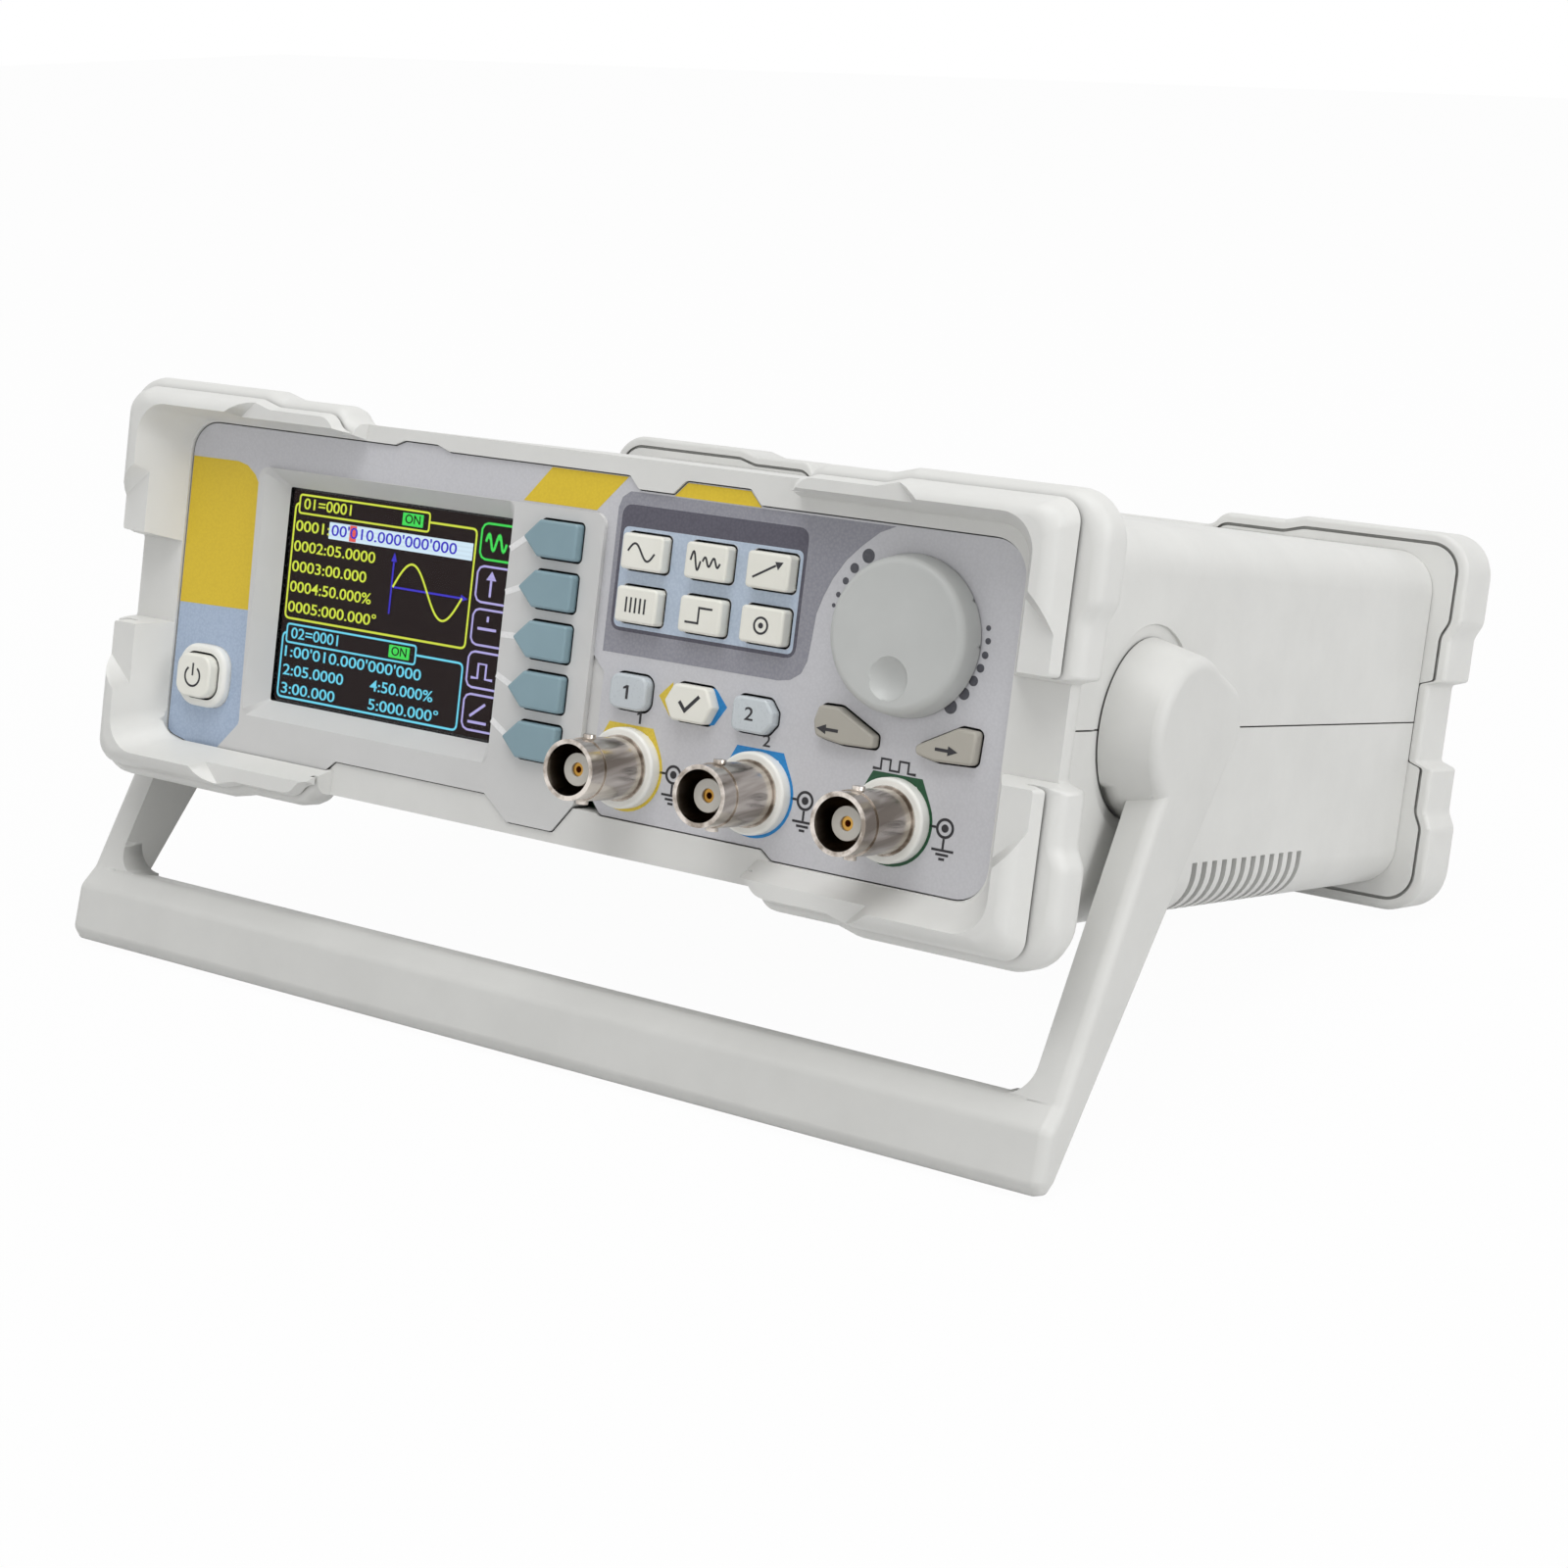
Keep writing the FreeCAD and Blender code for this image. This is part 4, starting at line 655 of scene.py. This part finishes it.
for name, x, z, way in (("arrow_key_left", 54.7, -5.3, -1), ("arrow_key_right", 75.6, -5.3, 1)):
    arrow = [(x - way * 1.9, z + 0.25), (x + way * 0.3, z + 0.25), (x + way * 0.3, z + 0.75),
             (x + way * 2.0, z), (x + way * 0.3, z - 0.75), (x + way * 0.3, z - 0.25),
             (x - way * 1.9, z - 0.25)]
    ink("sign_" + name, [arrow], "blackInk", legend["lowFace"], name)
powerArc = [(-76.0 + 1.75 * math.sin(math.radians(a)), -15.7 + 1.75 * math.cos(math.radians(a)))
            for a in range(35, 326, 12)]
powerStroke = [(-76.0, -15.6), (-76.0, -13.4)]
ink("sign_power_key",
    [ribbon(powerArc, legend["powerLine"]), ribbon(powerStroke, legend["powerLine"])],
    "blackInk", legend["powerFace"], "power_key")
print("key legends printed")

# Screen picture, drawn in the 320 by 240 cells of the display
screen = {"left": -62.78, "top": 18.96, "cell": pixelPitch, "face": -3.52}


def cell(x, y):
    return screen["left"] + x * screen["cell"], screen["top"] - y * screen["cell"]


def cellBox(x0, y0, x1, y1, radius, line=0):
    # filled box, or with a line width the frame of one
    left, top = cell(x0, y0)
    right, bottom = cell(x1, y1)
    if line <= 0:
        return [panelBox(left, right, bottom, top, max(radius * screen["cell"], 0.02))]
    return hollowBox(left, right, bottom, top, radius * screen["cell"], line * screen["cell"])


def cellLine(points, width):
    return ribbon([cell(x, y) for x, y in points], width * screen["cell"])


base = screen["face"]
layers = {"ground": base, "lines": base + 0.04, "patches": base + 0.08, "tabs": base + 0.12,
          "cursor": base + 0.14, "texts": base + 0.16}
strokes = {"frame": 2.4, "title": 2.2, "axis": 2.2, "sign": 3.0}    # line widths in cells


def screenInk(name, outlines, finish, layer):
    ink(name, outlines, finish, layers[layer], "case")


def cellText(name, lines, finish, pitch=10.2, height=12.5):
    # each line is (text, first column, middle row), with figures of one pitch
    placed = [(text, *cell(x, y), height * screen["cell"], len(text) * pitch * screen["cell"])
              for text, x, y in lines]
    figures(name, placed, finish, layers["texts"], "case")


def openTab(y0, y1):
    # outline of a tab that runs off the right edge of the picture
    return cellLine([(319.4, y0), (286, y0), (281, y0 + 2), (278, y0 + 7), (278, y1 - 7),
                     (281, y1 - 2), (286, y1), (319.4, y1)], strokes["frame"])


screenInk("screen_ground", cellBox(0.5, 0.5, 319.5, 239.5, 0.5), "screenBrown", "ground")
screenInk("screen_frame_one", cellBox(3, 14, 272, 147, 8, strokes["frame"]), "screenYellow",
          "lines")
screenInk("screen_frame_two", cellBox(3, 161, 272, 237, 8, strokes["frame"]), "screenCyan",
          "lines")
screenInk("screen_patches", cellBox(9, 4, 204, 27, 5) + cellBox(9, 151, 204, 174, 5),
          "screenBrown", "patches")
screenInk("screen_title_one", cellBox(9, 4, 204, 27, 5, strokes["title"]), "screenYellow", "tabs")
screenInk("screen_title_two", cellBox(9, 151, 204, 174, 5, strokes["title"]), "screenCyan", "tabs")
screenInk("screen_badges", cellBox(164, 8.5, 194, 22.5, 1) + cellBox(164, 155.5, 194, 169.5, 1),
          "screenGreen", "tabs")
screenInk("screen_bar", cellBox(58, 31, 268, 50, 1), "screenWhite", "tabs")
screenInk("screen_cursor", cellBox(89, 31.5, 99, 49.5, 1), "screenRed", "cursor")
cellText("screen_texts_yellow", [
    ("01=0001", 17, 15.5), ("0001:", 8, 41), ("0002:05.0000", 8, 64), ("0003:00.000", 8, 87),
    ("0004:50.000%", 8, 110), ("0005:000.000\u00b0", 8, 133),
], "screenYellow")
cellText("screen_texts_cyan", [
    ("02=0001", 17, 162.5), ("1:00'010.000'000'000", 10, 184), ("2:05.0000", 10, 205),
    ("4:50.000%", 142, 205), ("3:00.000", 10, 226), ("5:000.000\u00b0", 142, 226),
], "screenCyan")
cellText("screen_texts_blue", [("00'010.000'000'000", 62, 40.5)], "screenBlue")
cellText("screen_badge_texts", [("ON", 168, 15.5), ("ON", 168, 162.5)], "screenBrown", 11, 10)
wave = sineLine(160, 260, 92, -28, count=40)    # rows count downwards, so it starts upwards
screenInk("screen_wave", [cellLine(wave, strokes["frame"])], "screenYellow", "texts")
screenInk("screen_axes", [
    cellLine([(158, 122), (158, 64.2)], strokes["axis"]),
    cellLine([(161, 92), (257.8, 92)], strokes["axis"]),
    [cell(154, 64), cell(158, 54), cell(162, 64)], [cell(258, 88), cell(268, 92), cell(258, 96)],
], "screenBlue", "tabs")
tabPitch, tabTop, tabHeight = 46.5, 7, 39
screenInk("screen_tabs", [openTab(tabTop + tabPitch * i, tabTop + tabHeight + tabPitch * i)
                          for i in range(1, 5)], "screenLilac", "tabs")
screenInk("screen_tab_active", [openTab(tabTop, tabTop + tabHeight)], "screenGreen", "tabs")
screenInk("screen_tab_sign", [cellLine(sineLine(285, 313.8, 27, -9, 2.0, 24), strokes["sign"])],
          "screenGreen", "tabs")
signLines = [
    [(298, 86), (298, 68.2)], [(286, 121), (312, 121)], [(299, 113), (299, 107)],
    [(284, 175), (293, 175), (293, 159), (304, 159), (304, 175), (314, 175)],
    [(286, 223), (312, 223)], [(288, 217), (308, 202)],
]
tabSigns = [cellLine(points, strokes["sign"]) for points in signLines]
tabSigns.append([cell(291, 68), cell(298, 58), cell(305, 68)])    # head of the arrow
screenInk("screen_tab_signs", tabSigns, "screenLilac", "tabs")
print("screen drawn")

# Floor, light and camera: strengths of the white behind and of the plain light around
backdrop = {"floorSize": 6.0, "floorDrop": 0.0002, "whiteShare": 0.97, "paper": 0.7, "room": 0.5}
white = (1.0, 1.0, 1.0, 1.0)


def seenDirectly(tree):
    # 1 for rays that show the background itself: camera, mirror and glass rays
    rays = addNode(tree, "ShaderNodeLightPath")
    mirrored = addNode(tree, "ShaderNodeMath", {"operation": "MAXIMUM"}, {
        0: rays.outputs["Is Glossy Ray"], 1: rays.outputs["Is Transmission Ray"]})
    seen = addNode(tree, "ShaderNodeMath", {"operation": "MAXIMUM"}, {
        0: rays.outputs["Is Camera Ray"], 1: mirrored.outputs[0]})
    return seen.outputs[0]


bpy.ops.object.select_all(action="DESELECT")
bpy.ops.mesh.primitive_plane_add(size=backdrop["floorSize"],
                                 location=(0, 0, -backdrop["floorDrop"]))
floor = bpy.context.view_layer.objects.active
floor.name = "floor"
floorPaint, floorTree = startMaterial("floorPaper")
share = addNode(floorTree, "ShaderNodeMath", {"operation": "MULTIPLY"}, {
    0: seenDirectly(floorTree), 1: backdrop["whiteShare"]})
paper = addNode(floorTree, "ShaderNodeBsdfDiffuse", {}, {"Color": (*[backdrop["paper"]] * 3, 1.0)})
glow = addNode(floorTree, "ShaderNodeEmission", {}, {"Color": white, "Strength": 1.0})
mixed = addNode(floorTree, "ShaderNodeMixShader", {}, {
    0: share.outputs[0], 1: paper.outputs[0], 2: glow.outputs[0]})
closeMaterial(floorTree, mixed)
floor.data.materials.append(floorPaint)

world = bpy.data.worlds.new("studio")
world.use_nodes = True
worldTree = world.node_tree
worldTree.nodes.clear()
around = addNode(worldTree, "ShaderNodeBackground", {}, {
    "Color": white, "Strength": backdrop["room"]})
behind = addNode(worldTree, "ShaderNodeBackground", {}, {"Color": white, "Strength": 1.0})
worldMix = addNode(worldTree, "ShaderNodeMixShader", {}, {
    0: seenDirectly(worldTree), 1: around.outputs[0], 2: behind.outputs[0]})
addNode(worldTree, "ShaderNodeOutputWorld", {}, {"Surface": worldMix.outputs[0]})
bpy.context.scene.world = world

lamps = {
    "keyLight": {"place": (0.1, -0.35, 1.25), "size": 0.8, "power": 7.0},
    "sideLight": {"place": (1.25, -0.1, 0.6), "size": 0.8, "power": 5.5},
    "frontLight": {"place": (0.3, -1.3, 0.35), "size": 0.8, "power": 0.8},
}
lampTarget = Vector((0.0, 0.0, 0.05))
for lampName, lamp in lamps.items():
    light = bpy.data.lights.new(lampName, "AREA")
    light.size = lamp["size"]
    light.energy = lamp["power"]
    holder = bpy.data.objects.new(lampName, light)
    holder.location = lamp["place"]
    towards = lampTarget - Vector(lamp["place"])
    holder.rotation_euler = towards.to_track_quat("-Z", "Y").to_euler()
    bpy.context.collection.objects.link(holder)

# Camera at the photograph's viewing angle, given in the level drawing frame
cameraSet = {
    "place": (286.69, -371.07, 34.41), "lens": 66.53,
    "right": (0.82662, 0.54991, 0.11955), "down": (0.16086, -0.02732, -0.98660),
    "ahead": (-0.53928, 0.83477, -0.11104), "sensor": 36.0, "clipStart": 0.01,
}
turn = Matrix.Rotation(-lean, 3, "X")
axes = [turn @ Vector(cameraSet["right"]), -(turn @ Vector(cameraSet["down"])),
        -(turn @ Vector(cameraSet["ahead"]))]
cameraData = bpy.data.cameras.new("camera")
cameraData.lens = cameraSet["lens"]
cameraData.sensor_width = cameraSet["sensor"]
cameraData.sensor_fit = "HORIZONTAL"
cameraData.clip_start = cameraSet["clipStart"]
camera = bpy.data.objects.new("camera", cameraData)
bpy.context.collection.objects.link(camera)
pose = Matrix([[axis[row] for axis in axes] for row in range(3)]).to_4x4()
pose.translation = rowPoint(*cameraSet["place"])
camera.matrix_world = pose
bpy.context.scene.camera = camera
bpy.context.scene.view_settings.view_transform = "Standard"
print("stage, lights and camera set")
